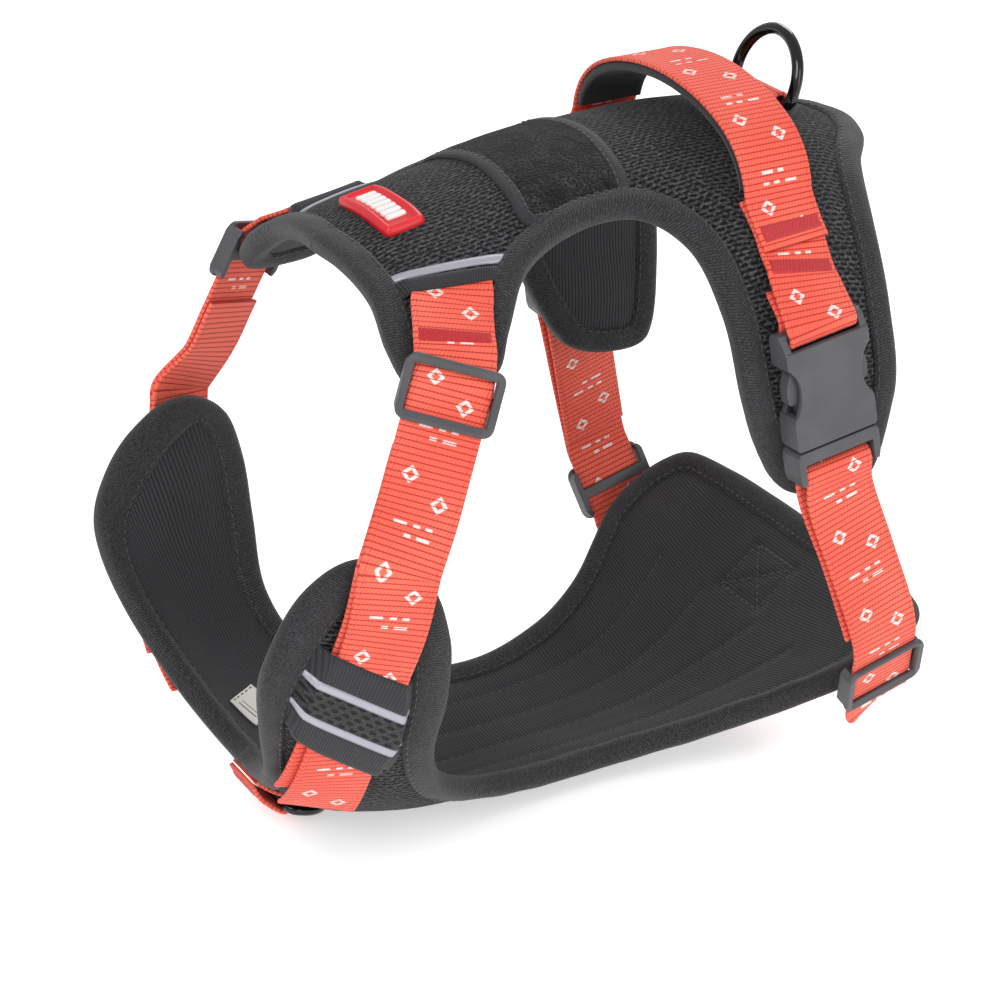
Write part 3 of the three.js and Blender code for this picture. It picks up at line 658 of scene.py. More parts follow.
def ring_paint():
    g = Graph("ring_paint", roughness=0.2, metallic=0.75, specular=0.6, coat=0.5)
    scuff = g.step(g.noise(130, 4, 0.7), 0.6, 0.75)
    colour = g.mix(scuff * 0.3, (0.012, 0.012, 0.013), (0.06, 0.06, 0.065))
    return g.surface(colour, g.noise(420), 0.00015, 0.15, scuff * 0.2 + 0.16)


def neoprene():
    g = Graph("neoprene", roughness=0.7, sheen=0.15, specular=0.4)
    u, v = g.across()
    fibre = g.noise(1200, 3, 0.6)
    colour = g.mix(fibre, (0.008, 0.008, 0.009), (0.03, 0.03, 0.033))
    return g.surface(colour, g.wave(u, 0.8) * g.wave(v, 0.8) * 0.6 + fibre * 0.6, 0.0002, 0.5)


def label_satin():
    """Off-white woven label with two plain bars, and painted shade between the threads of its weave."""
    g = Graph("label_satin", roughness=0.55, sheen=0.2, specular=0.4)
    u, v = g.across()
    weave = g.wave(u, 0.5) * g.wave(v, 0.4)
    bars = [g.step(v, low - 0.1, low + 0.1) * g.step(v, high + 0.1, high - 0.1)
            for low, high in ((5.0, 6.0), (8.4, 9.0))]
    side = g.step(u, 2.2, 2.5) * g.step(u, 9.8, 9.5)
    # Painted shade: the cloth is mixed darker between the threads of the weave, lighter on them.
    cloth = g.mix(weave, (0.56, 0.55, 0.51), (0.78, 0.77, 0.73))
    return g.surface(g.mix(side * g.math("MAXIMUM", *bars), cloth, (0.06, 0.06, 0.065)), weave, 0.0001, 0.4)


def floor_paint():
    g = Graph("floor_paint", roughness=0.28, specular=0.25)
    blotch = g.noise(3)
    g.shader.inputs["Emission Color"].default_value = (1, 1, 1, 1)
    g.shader.inputs["Emission Strength"].default_value = 0.5
    return g.surface(g.mix(blotch, (0.9, 0.9, 0.9), (0.93, 0.93, 0.93)), roughness=blotch * 0.08 + 0.25)


MESH = air_mesh()
LINING = lining_knit()
TWILL = edge_twill()
RIBBON = ribbon_grosgrain()
PILE = loop_pile()
NET = open_mesh()
WEB = webbing("webbing", printed=True)
WEB_PLAIN = webbing("webbing_plain", printed=False)
BARTACK = bartack_thread()
BLACK_THREAD = black_thread()
SILVER = reflective_film()
RED_RUBBER = rubber("badge_rubber", (0.74, 0.012, 0.022), (0.66, 0.01, 0.018))
WHITE_RUBBER = rubber("bar_rubber", (0.86, 0.85, 0.84), (0.8, 0.79, 0.78))
ACETAL = acetal()
PAINT = ring_paint()
NEOPRENE = neoprene()
LABEL = label_satin()


def keep(piece, body, slot, *nodes):
    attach(piece, body)
    if nodes:
        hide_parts(*nodes)


def keep_pair(piece, body, slot, *nodes):
    """Keeps a left-hand piece and its mirror image; names hold "left"."""
    twin = mirrored(piece, piece.name.replace("left", "right"))
    keep(piece, body, slot, *nodes)
    keep(twin, body.replace("left", "right"), slot, *(node.replace("left", "right") for node in nodes))


# ---------------------------------------------------------------- padded panels

BACK_HALF = [
    (0, -69), (14, -68), (37, -67), (56, -69), (70, -66), (76, -52), (77, -38), (66, -30), (49, -16),
    (42.5, 3), (45, 27), (60, 39), (86, 44), (116, 48), (140, 57), (156, 68), (161, 84), (157, 101),
    (125, 108), (92, 107), (64, 110), (40, 118), (20, 132), (0, 138)]
CHEST_HALF = [
    (0, 0), (38, -6), (70, -9), (100, -4), (128, 10), (150, 24), (162, 36), (164, 45), (158, 52),
    (140, 55.5), (115, 54.5), (86, 52), (66, 58), (52, 74), (46, 96), (44, 122), (50, 148), (60, 172),
    (71, 190), (79, 204), (82, 220), (80, 238), (73, 250), (50, 257), (25, 259.5), (0, 260)]
OUTLINE_SPACING = 2.0
back_outline = outline_of(BACK_HALF, OUTLINE_SPACING)
chest_outline = outline_of(CHEST_HALF, OUTLINE_SPACING)


def crown(outline, foot, height, reach=5.0):
    """Lift of a pad that is stitched down under the binding and swells inside it."""
    def lift(u, v):
        points = np.stack([np.ravel(u), np.ravel(v)], -1)
        depth = edge_distance(points, outline).reshape(np.shape(u))
        rise = 1 - np.exp(-np.maximum(depth - BINDING_WIDTH, 0) / reach)
        soft = 0.18 * np.sin(u * 0.11 + 1.3 * np.sin(v * 0.07)) * np.sin(v * 0.13 + u * 0.04)
        return foot + (height + soft * np.sign(height)) * rise
    return lift


OUTER_CROWN, INNER_CROWN = (-1.0, 1.9), (-5.7, -1.5)
back_top = crown(back_outline, *OUTER_CROWN)
chest_top = crown(chest_outline, *OUTER_CROWN)
back_under = crown(back_outline, *INNER_CROWN)
chest_under_plain = crown(chest_outline, *INNER_CROWN)

CHANNELS = [[(9, 70), (8, 130), (11, 185), (17, 215)], [(26, 62), (24, 120), (30, 170), (44, 212)]]
channel_lines = [spline([(side * u, v) for u, v in line], 2.0) for line in CHANNELS for side in (-1, 1)]
XBOX = np.array([(-12, 220), (12, 220), (12, 241), (-12, 241)], float)


def chest_under(u, v):
    """Body side of the chest plate, with its long sewn channels and the box where the girth straps cross."""
    lift = chest_under_plain(u, v)
    points = np.stack([np.ravel(u), np.ravel(v)], -1)
    for line in channel_lines + [XBOX[[0, 1, 2, 3, 0]], XBOX[[0, 2]], XBOX[[1, 3]]]:
        lift = lift + 0.75 * np.exp(-(line_distance(points, line).reshape(np.shape(u)) / 1.7) ** 2)
    return lift


BINDING_SECTION = [
    (9.5, -1.3), (9.6, -0.5), (9.0, 0.1), (7.6, 0.55), (5.6, 0.95), (3.6, 1.05), (1.8, 0.7), (0.5, -0.3),
    (-0.1, -1.6), (-0.2, -3.1), (-0.1, -4.6), (0.5, -5.9), (1.8, -6.9), (3.6, -7.25), (5.6, -7.15),
    (7.6, -6.75), (9.0, -6.3), (9.6, -5.8), (9.5, -5.0), (6.0, -4.2), (6.0, -2.2)]


def bound_edge(name, outline, surface):
    """Edge tape folded round a panel's rim."""
    rings = []
    profile = np.array(BINDING_SECTION)
    along = np.arange(len(outline)) * OUTLINE_SPACING
    loops = {d: (inset(outline, d) if d > 0.05 else outline) for d in sorted(set(profile[:, 0]))}
    for depth, lift in BINDING_SECTION:
        loop = loops[depth]
        pucker = 0.12 * np.sin(along * 0.37 + 2 * np.sin(along * 0.023)) * (depth > 3)
        rings.append(surface(loop[:, 0], loop[:, 1], lift + pucker * np.sign(lift + 3)))
    return loft(name, np.stack(rings, 1), run_along(profile), along, TWILL, closed=True)


def edge_stitches(name, outline, surface, depth, lift):
    loop = inset(outline, depth)
    u, v = np.concatenate([loop, loop[:1]]).T
    side = 1 if lift > -PAD_THICK / 2 else -1
    return stitches(name, surface(u, v, lift), normal_on(surface, u, v) * side, BLACK_THREAD)


def panel(name, outline, surface, top, under):
    rim = inset(outline, 3.4)
    pad = layer(f"{name}_pad", rim, surface, -4.3, top, MESH)
    keep(pad, "harness", "air_mesh", f"{name}_panel")
    lining = layer(f"{name}_lining_pad", rim, surface, under, -4.5, LINING, cell=2.4)
    keep(lining, "harness", "lining", f"{name}_lining")
    edge = bound_edge(f"{name}_edge_tape", outline, surface)
    keep(edge, "harness", "binding", f"{name}_binding")
    for side, lift in (("outer", 0.32), ("inner", -6.6)):
        row = edge_stitches(f"{name}_{side}_stitching", outline, surface, 8.3, lift)
        keep(row, "harness", "binding")


panel("back", back_outline, on_back, back_top, back_under)
panel("chest", chest_outline, on_chest, chest_top, chest_under)


def sewn_line(name, line, surface, lift_at, side=1, **settings):
    u, v = line.T
    path, normals = surface(u, v, lift_at(u, v)), normal_on(surface, u, v) * side
    return stitches(name, path, normals, BLACK_THREAD, **settings)


for number, line in enumerate(channel_lines):
    row = sewn_line(f"channel_stitching_{number}", line, on_chest, chest_under, -1, radius=0.3)
    keep(row, "harness", "lining")
box_path = resample(XBOX[[0, 1, 2, 3, 0, 2, 3, 1]], 1.0)
row = sewn_line("girth_box_stitching", box_path, on_chest, chest_under, -1, radius=0.4)
keep(row, "harness", "lining")


# ---------------------------------------------------------------- trims on the back

def smooth_step(x):
    x = np.clip(x, 0, 1)
    return x * x * (3 - 2 * x)


LOOP_HALF = [(0, -8), (20, -9.5), (35, -10), (38.5, 0), (38.5, 12), (39.5, 22), (38, 27), (20, 31), (0, 33)]
LOOP_SPACING = 1.5
loop_outline = outline_of(LOOP_HALF, LOOP_SPACING)


def loop_lift(u, v):
    depth = edge_distance(np.stack([u, v], -1), loop_outline)
    return back_top(u, v) + 0.25 + 0.9 * smooth_step(depth / 2.0) + 0.35 * smooth_step((depth - 4) / 3)


field = layer("loop_field", loop_outline, on_back, -0.4, loop_lift, PILE, cell=2.2)
keep(field, "harness", "loop_tape", "loop_panel")


def flat_ring(name, outline, width, base, thick, material):
    """A narrow tape laid on the back round an outline, just inside it."""
    depths = np.array([0, 0.4, width / 2, width - 0.4, width])
    rises = np.array([0.1, 0.8, 1.0, 0.8, 0.1]) * thick
    loops = [inset(outline, depth).T if depth > 0 else outline.T for depth in depths]
    top = [on_back(*loop, base(*loop) + rise) for loop, rise in zip(loops, rises)]
    low = [on_back(*loop, base(*loop) - 0.5) for loop in (loops[-1], loops[0])]
    far = np.arange(len(outline)) * LOOP_SPACING
    across = np.array([0, 0.5, width / 2, width - 0.5, width, width, 0])
    return loft(name, np.stack(top + low, 1), across, far, material, closed=True)


tape = flat_ring("loop_border_tape", loop_outline, 4.6, lambda u, v: back_top(u, v) + 0.75, 0.9, RIBBON)
keep(tape, "harness", "ribbon")
inner = inset(loop_outline, 3.9)
inner = np.concatenate([inner, inner[:1]])
row = sewn_line("loop_border_stitching", inner, on_back, lambda u, v: back_top(u, v) + 1.5)
keep(row, "harness", "ribbon")


def patch(name, corners, surface, lift, thick, material, edge=0.5):
    """A sewn tape between four corners [start left, start right, end right, end left]."""
    a, b, c, d = [np.array(k, float) for k in corners]
    width, length = np.linalg.norm(b - a), np.linalg.norm(d - a)
    t, r = np.meshgrid(np.linspace(0, 1, int(length)), np.linspace(0, 1, max(4, int(width))), indexing="ij")
    uv = (a * (1 - r)[..., None] + b * r[..., None]) * (1 - t)[..., None]
    uv += (d * (1 - r)[..., None] + c * r[..., None]) * t[..., None]
    rim = np.minimum(np.minimum(r, 1 - r) * width, np.minimum(t, 1 - t) * length)
    base = lift(uv[..., 0], uv[..., 1], t, r)
    top = surface(uv[..., 0], uv[..., 1], base + thick * (0.35 + 0.65 * smooth_step(rim / edge)))
    low = surface(uv[..., 0], uv[..., 1], base - 0.4)
    own = np.stack([r * width, t * length], -1)
    return slab(name, top, low, own, material)


def near_back(extra):
    return lambda u, v, t, r: back_top(u.ravel(), v.ravel()).reshape(u.shape) + extra


strip = patch("back_strip_left", [(31, -64.5), (34, -65), (44.8, -18.5), (41.8, -17.5)], on_back,
              near_back(0.35), 0.5, SILVER)
keep_pair(strip, "harness", "reflective_tape", "back_reflective_left")


def over_strap_end(u, v, t, r):
    """The ribbon rises over the end of the shoulder strap that is sewn under it."""
    hump = smooth_step((np.minimum(t, 1 - t) - 0.06) / 0.1) * smooth_step(r / 0.3)
    return near_back(0.2)(u, v, t, r) * (1 - hump) + 2.8 * hump


band = patch("back_band_left", [(34.6, -62), (42.2, -60.5), (50.6, -25), (45.4, -21)], on_back,
             over_strap_end, 0.5, RIBBON)
keep_pair(band, "harness", "ribbon", "back_ribbon_left")


def block_rings(outline, low, section):
    """Rings of a moulded block on the back; section is a list of (inset, lift) from foot to top."""
    return np.stack([on_back(*(inset(outline, depth) if depth else outline).T, np.full(len(outline), lift))
                     for depth, lift in [(0, low), *section]])


BADGE_HALF = [(0, -51), (13.5, -50.9), (16.6, -50.2), (17.2, -47.5), (17.2, -39.5), (16.6, -36.8),
              (13.5, -36.1), (0, -36)]
BADGE_SECTION = [(0, 1.6), (0.3, 2.6), (0.9, 3.3), (1.7, 3.55), (2.3, 3.4), (2.6, 2.7), (3.0, 2.5)]
badge_outline = outline_of(BADGE_HALF, 0.8)
rings = block_rings(badge_outline, -0.2, BADGE_SECTION)
flat = np.tile(badge_outline, (len(rings), 1))
badge = mesh_object("badge_block", rings.reshape(-1, 3), capped_faces(*rings.shape[:2]), flat, RED_RUBBER)
keep(badge, "harness", "badge_red", "badge")

BAR_HALF = [(1.1, -46.9), (1.2, -46.4), (1.2, -40.6), (1.1, -40.1)]
BAR_COUNT, BAR_PITCH = 7, 3.25
bar_outline = outline_of(BAR_HALF, 0.6)
points, faces = [], []
for number in range(BAR_COUNT):
    middle = np.array([(number - (BAR_COUNT - 1) / 2) * BAR_PITCH, 0])
    rings = block_rings(bar_outline + middle, 1.8, [(0, 2.9), (0.25, 3.2), (0.5, 3.28)])
    faces += [[k + len(points) for k in face] for face in capped_faces(*rings.shape[:2])]
    points += rings.reshape(-1, 3).tolist()
insert = mesh_object("badge_bars", points, faces, np.array(points)[:, :2], WHITE_RUBBER)
keep(insert, "harness", "badge_white", "badge_insert")


# ---------------------------------------------------------------- webbing

def station(surface, u, v, lift):
    u, v, lift = (np.asarray(k, float) for k in (u, v, lift))
    return np.concatenate([surface(u, v, lift), normal_on(surface, u, v)], -1)


def laid(surface, route):
    return station(surface, *spline(route, 3.0).T)


def along(seat, distance, outwards=0.0):
    """A station on a straight seat, at a distance down it."""
    centre, down, outward = (np.array(seat[key], float) for key in ("centre", "down", "outward"))
    return np.concatenate([centre + down * distance + outward * outwards, outward])


def strap(name, stations, material, width=WEB_WIDTH, thick=WEB_THICK, sway=None):
    """Woven webbing along stations (point, facing side), with cross ribs and firm selvedges."""
    stations = np.array(stations, float)
    line = spline(stations[:, :3], 0.5)
    run = run_along(line)
    coarse = run_along(stations[:, :3])
    coarse *= run[-1] / coarse[-1]
    normal = unit(read_at(run, coarse, stations[:, 3:]))
    tangent = unit(np.gradient(line, axis=0))
    across = unit(np.cross(normal, tangent))
    face = unit(np.cross(tangent, across))
    if sway is not None:
        line = line + across * np.interp(run / run[-1], *np.array(sway, float).T)[:, None]
    half, deep = width / 2, thick / 2
    flat = np.linspace(-half + 0.9, half - 0.9, 11)
    edge = [(half - 0.25, 0.78), (half, 0.0), (half - 0.25, -0.78)]
    section = [(x, 1.0) for x in flat] + edge + [(x, -1.0) for x in flat[::-1]]
    section += [(-x, -y) for x, y in edge]
    x, z = np.array(section).T
    rib = 0.08 * (np.abs(np.sin(np.pi * run / 2.0)) - 0.5)
    level = deep * z[None, :] + rib[:, None] * z[None, :]
    level = level + 0.1 * z[None, :] * (np.abs(x)[None, :] > half - 1.3)
    rings = line[:, None, :] + across[:, None, :] * x[None, :, None] + face[:, None, :] * level[..., None]
    piece = loft(name, rings, x, run, material)
    return piece, {"run": run, "line": line, "across": across, "face": face, "deep": deep, "half": half}


def bartack(name, path, at, length):
    """A dense block of thread sewn over a strap."""
    width = path["half"] * 2 - 3
    rows = np.linspace(at, at + length, int(length / 0.25))
    columns = np.linspace(-width / 2, width / 2, int(width / 0.25))
    line, across, face = (read_at(rows, path["run"], path[key]) for key in ("line", "across", "face"))
    t, x = np.meshgrid(rows - at, columns, indexing="ij")
    rim = np.minimum(np.minimum(t, length - t), width / 2 - np.abs(x))
    ridge_height = 0.12 * np.abs(np.sin(np.pi * (x + 0.35 * t) / 0.9))
    rise = path["deep"] + 0.05 + 0.3 * smooth_step(rim / 0.5) + ridge_height
    place = line[:, None, :] + across[:, None, :] * x[..., None]
    top = place + face[:, None, :] * rise[..., None]
    low = place + face[:, None, :] * (path["deep"] - 0.3)
    return slab(name, top, low, np.stack([x, t], -1), BARTACK)


SHOULDER = {
    "centre": (69.9, -57.7, 79.2), "down": (0.169, -0.395, -0.903), "outward": (0.883, -0.348, 0.318)}
SHOULDER_RUN = [
    (165, 45.5, 6.6), (143, 40.5, 5.3), (124, 34.6, 4.4), (108.7, 30, 4), (95.5, 25.3, 4), (82.7, 21.7, 4),
    (64, 18, 4), (49, 16.5, 3.7)]
GIRTH = {
    "centre": (87.6, 100.2, -52.6), "down": (-0.38, 0.22, -0.898), "outward": (0.925, 0.09, -0.369)}
BUCKLE_SEAT = {
    "centre": (81.4, 70.8, 80.2), "down": (0.055, 0.143, -0.9882), "outward": (0.9985, -0.0079, 0.0544)}

top = laid(on_back, [(43.5, -41.6, 1.3), (48, -43.3, 1.7), (52, -45.4, 2.2)])
bend = [(58.6, -49.8, 94.2, 0.77, -0.17, 0.61), (64.9, -52.8, 89.4, 0.85, -0.28, 0.44)]
free = [*bend, *[along(SHOULDER, d) for d in (-3, 0, 13, 24, 38)]]
wing = laid(on_chest, SHOULDER_RUN)
piece, path = strap("shoulder_web_left", [*top, *free, *wing], WEB)
keep_pair(piece, "harness", "webbing", "shoulder_strap_left")
keep_pair(bartack("shoulder_bartack_left", path, 20.5, 4.4), "harness", "webbing")

back = [along(SHOULDER, d, -2.1) for d in (19, 24, 38)]
under = laid(on_chest, [(q, p, lift - 2.1) for q, p, lift in SHOULDER_RUN[:7]])
piece, path = strap("shoulder_return_web_left", [*back, *under], WEB_PLAIN,
                    sway=[(0, 0), (0.3, -0.6), (0.7, -2.2), (1, -4.2)])
keep_pair(piece, "harness", "webbing", "shoulder_return_left")


def wing_lift(rise, flat):
    """Bands bridge over the doubled strap, dip to the pad beside it and end under the edge tape."""
    def lift(u, v, t, r):
        points = np.stack([u.ravel(), v.ravel()], -1)
        depth = edge_distance(points, chest_outline).reshape(u.shape)
        pad = chest_top(u.ravel(), v.ravel()).reshape(u.shape) + 0.2
        over = smooth_step(np.minimum(t * WING_REACH - 1, (1 - t) * WING_REACH - 1.5) / 4.0)
        bridge = pad * (1 - over) + (rise + flat) * over
        free = smooth_step((depth - 8.8) / 3.0)
        return bridge * free - 1.5 * (1 - free)
    return lift


def wing_edge(p, drop):
    return (131 - 0.4 * (p - 20) - drop * 1.06, p - drop * 0.42)


WING_BANDS = [
    ("chest_ribbon_upper", RIBBON, "ribbon", -0.6, 10.4, 0.0),
    ("chest_mesh", NET, "mesh_window", 12.4, 24.8, -0.1),
    ("chest_ribbon_lower", RIBBON, "ribbon", 26.6, 37.6, 0.0),
    ("chest_reflective_upper", SILVER, "reflective_tape", 10.0, 13.2, 0.3),
    ("chest_reflective_lower", SILVER, "reflective_tape", 24.0, 27.2, 0.3),
]
WING_FRONT, WING_REAR = 16.5, 54.5
WING_REACH = WING_REAR - WING_FRONT
for name, material, slot, low, high, flat in WING_BANDS:
    corners = [wing_edge(WING_FRONT, low), wing_edge(WING_FRONT, high),
               wing_edge(WING_REAR, high), wing_edge(WING_REAR, low)]
    piece = patch(f"{name}_band_left", corners, on_chest, wing_lift(5.1, flat), 0.7, material)
    keep_pair(piece, "harness", slot, f"{name}_left")


# ---------------------------------------------------------------- handle

HANDLE_ARCH = [(54.6, 110.5), (53.4, 117), (49.9, 125.4), (42.6, 133), (30, 139.2), (15, 142.8), (0, 144)]
arch = HANDLE_ARCH + [(-x, z) for x, z in reversed(HANDLE_ARCH[:-1])]
arch_line = spline([(x, HANDLE_MIDDLE_Y, z) for x, z in arch], 4.0)
turn = unit(np.gradient(arch_line, axis=0))
arch_normal = np.stack([turn[:, 2], turn[:, 1] * 0, -turn[:, 0]], -1)
arch_normal *= np.sign(arch_normal[len(arch_normal) // 2, 2])
foot_left = laid(on_back, [(70, 73.6, 3.2), (62, 73.0, 3.4)])
foot_right = foot_left[::-1] * np.array([-1, 1, 1, -1, 1, 1])
over = np.concatenate([arch_line, arch_normal], -1)[1:-1]
stations = np.concatenate([foot_left[:-1], over, foot_right[1:]])
handle, handle_path = strap("handle_web", stations, WEB)
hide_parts("handle_webbing")
lining_line = arch_line - arch_normal * (0.7 + 0.3 + 1.5)
lining_stations = np.concatenate([lining_line, arch_normal], -1)[2:-2]
handle_lining, _ = strap("handle_neoprene", lining_stations, NEOPRENE, width=WEB_WIDTH - 1, thick=3.0)
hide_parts("handle_lining")


# ---------------------------------------------------------------- girth straps

def fold(down, turns, reach=3.3):
    """Stations round one of the buckle's bars; a turn of 0 degrees lies on its outer side."""
    centre = along(BUCKLE_SEAT, down)[:3]
    turns = [math.radians(turn) for turn in turns]
    places = [along(BUCKLE_SEAT, down + reach * math.sin(t), reach * math.cos(t))[:3] for t in turns]
    return [np.concatenate([place, unit(place - centre)]) for place in places]


outer = laid(on_back, [(52, 73, 1.7), (64, 73.2, 1.7), (73, 72.6, 2.0), (80, 71.4, 4.6)])
end = station(on_back, 83, 70.6, 2.0)
end[3:] *= -1
piece, path = strap("girth_upper_web_left", [*outer, *fold(0.7, [-40, 0, 45, 90, 135, 180, 205]), end], WEB)
keep_pair(piece, "harness", "webbing", "girth_strap_upper_left")
keep_pair(bartack("girth_lower_bartack_left", path, 24.0, 5.0), "harness", "webbing")
keep_pair(bartack("handle_bartack_left", handle_path, 3.0, 5.0), "harness", "webbing")

down = MALE_TOP + 10.5
inner_side = [(*c, -1, 0, 0) for c in ((91.2, 94.4, -31), (86.4, 87, -4), (80.8, 79.8, 20.2))]
outer_side = [(*c, 1, 0, 0) for c in ((86.4, 79.8, 20.2), (90.4, 87, -4), (94.2, 94.6, -29))]
through = [along(GIRTH, d) for d in (-16, -11, 11, 16)]
under = laid(on_chest, [(66, 226, 7), (52, 228, 3), (36, 230, 1.8), (4, 231, 1.8)])
girth_stations = [*inner_side, *fold(down, [180, 225, 270, 315, 360]), *outer_side, *through, *under]
girth_left, girth_path = strap("girth_lower_web_left", girth_stations, WEB)
girth_right = mirrored(girth_left, "girth_lower_web_right")
for piece, side in ((girth_left, "left"), (girth_right, "right")):
    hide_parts(f"girth_strap_lower_{side}")


# ---------------------------------------------------------------- rings and their tabs

def d_ring(name, width, height, wire, lean, bar):
    """A ring of round wire with a straight bar, leaning back by the given degrees."""
    half = width / 2 - wire
    t = np.linspace(0, math.pi, 40)
    bow = np.stack([half * np.cos(t) * (1 - 0.06 * np.sin(t)), height * (0.28 + 0.6 * np.sin(t))], -1)
    foot = np.array([(-half * 0.98, 1.6), (-half * 0.84, 0), (0, 0), (half * 0.84, 0), (half * 0.98, 1.6)])
    flat = spline(np.concatenate([bow, foot]), RING_SPACING, closed=True)
    c, s = math.cos(math.radians(lean)), math.sin(math.radians(lean))
    line = np.stack([flat[:, 0], -s * flat[:, 1], c * flat[:, 1]], -1) + np.array(bar)
    tangent = unit(np.roll(line, -1, 0) - np.roll(line, 1, 0))
    side = np.tile([0, c, s], (len(line), 1))
    up = unit(np.cross(tangent, side))
    around = np.linspace(0, 2 * np.pi, 16, endpoint=False)
    turn = around[None, :, None]
    rings = line[:, None, :] + wire * (side[:, None, :] * np.cos(turn) + up[:, None, :] * np.sin(turn))
    return loft(name, rings, around * wire, np.arange(len(line)) * RING_SPACING, PAINT, closed=True)


def ring_tab(name, bar, wire, start, sweep, before, after, width):
    """A short strap folded round a ring's bar, with its two ends one over the other."""
    reach = wire + 0.4 + WEB_THICK / 2
    turns = [np.array([0, math.cos(t), math.sin(t)]) for t in start + sweep * np.linspace(0, 1, 9)]
    loop = [np.concatenate([bar + turn * reach, turn]) for turn in turns]
    return strap(name, [*before, *loop, *after], WEB_PLAIN, width=width)


def turned(row):
    return np.concatenate([row[:3], -row[3:]])


LEASH_BAR, LEASH_WIRE = (0, 102, 128.9), 2.1
FRONT_BAR, FRONT_WIRE = on_chest(0, 20, 4.2), 1.8
keep(d_ring("leash_d_ring", 38, 25.5, LEASH_WIRE, -18, LEASH_BAR), "leash_ring", "ring_steel", "leash_ring")
keep(d_ring("front_d_ring", 28, 20, FRONT_WIRE, -110, FRONT_BAR), "front_ring", "ring_steel", "front_ring")
before = [turned(station(on_back, 0, y, 1.5)) for y in (83, 94)]
after = [station(on_back, 0, y, 3.5) for y in (94, 83)]
piece, path = ring_tab(
    "leash_tab", LEASH_BAR, LEASH_WIRE, -math.pi / 2 - 0.15, math.pi + 0.5, before, after, WEB_WIDTH - 2)
keep(piece, "harness", "webbing", "leash_ring_tab")
keep(bartack("leash_tab_bartack", path, path["run"][-1] - 6.5, 4.5), "harness", "webbing")
before = [turned(station(on_chest, 0, p, 1.4)) for p in (4.5, 11)]
after = [station(on_chest, 0, p, lift) for p, lift in ((11, 5.6), (4.5, 3.3))]
piece, path = ring_tab(
    "front_tab", FRONT_BAR, FRONT_WIRE, math.pi * 0.33, -math.pi * 1.05, before, after, 18)
keep(piece, "harness", "webbing", "front_ring_tab")
keep(bartack("front_tab_bartack", path, path["run"][-1] - 5, 3.4), "harness", "webbing")


# ---------------------------------------------------------------- moulded plastic

def prism(outline, low, high, hole=None):
    """Points and faces of a straight-sided block; with a hole, both loops have as many points."""
    loops = [outline] if hole is None else [outline, hole]
    n, step = len(outline), len(outline) * len(loops)
    points = [(x, y, z) for z in (low, high) for loop in loops for x, y in loop]
    turns = [(i, (i + 1) % n) for i in range(n)]
    faces = [(k + i, k + j, k + j + step, k + i + step) for k in range(0, step, n) for i, j in turns]
    if hole is None:
        faces += [tuple(range(n)), tuple(range(step, step + n))]
    else:
        faces += [(k + i, k + j, k + n + j, k + n + i) for k in (0, step) for i, j in turns]
    return points, faces


def cuboid(x0, x1, y0, y1, z0, z1):
    return prism([(x0, y0), (x1, y0), (x1, y1), (x0, y1)], z0, z1)


def rounded(half_width, half_height, radius, count=24):
    """A rounded rectangle with the same number of points in each corner."""
    points = []
    for k, (sx, sy) in enumerate(((1, 1), (-1, 1), (-1, -1), (1, -1))):
        for i in range(count):
            t = math.pi / 2 * (k + i / (count - 1))
            points.append((sx * (half_width - radius) + radius * math.cos(t),
                           sy * (half_height - radius) + radius * math.sin(t)))
    return np.array(points)


def moulded(name, blocks, seat, voxel=0.3, smoothing=4):
    """One plastic moulding from overlapping blocks, with its edges softened, set in its place."""
    points, faces = [], []
    for own, sides in blocks:
        faces += [[k + len(points) for k in face] for face in sides]
        points += own
    rough = place_in_scene(name + "_blocks", closed_mesh(name + "_blocks", np.array(points) / 1000, faces))
    remesh = rough.modifiers.new("remesh", "REMESH")
    remesh.mode = "VOXEL"
    remesh.voxel_size = voxel / 1000
    soften = rough.modifiers.new("soften", "SMOOTH")
    soften.iterations = smoothing
    soften.factor = 0.5
    thin = rough.modifiers.new("thin", "DECIMATE")
    thin.ratio = 0.35
    bpy.context.view_layer.update()
    made = bpy.data.meshes.new_from_object(rough.evaluated_get(bpy.context.evaluated_depsgraph_get()))
    made.name = name
    bpy.data.objects.remove(rough)
    y = unit(seat["down"])
    z = np.array(seat["outward"], float)
    z = unit(z - y * (z @ y))
    matrix = Matrix((np.cross(y, z), y, z)).transposed().to_4x4()
    matrix.translation = Vector((np.array(seat["centre"]) + SHIFT) / 1000)
    made.transform(matrix)
    made.polygons.foreach_set("use_smooth", [True] * len(made.polygons))
    made.materials.clear()
    made.materials.append(ACETAL)
    return place_in_scene(name, made)


def both_sides(half):
    return list(half) + [(-x, y) for x, y in reversed(half)]


def side_wall(end, near, far, profile):
    """A wall at one end of a moulding, from a profile of (down, outwards) points."""
    points, faces = prism([(z, y) for y, z in profile], end * near, end * far)
    return [(x, y, z) for z, y, x in points], faces


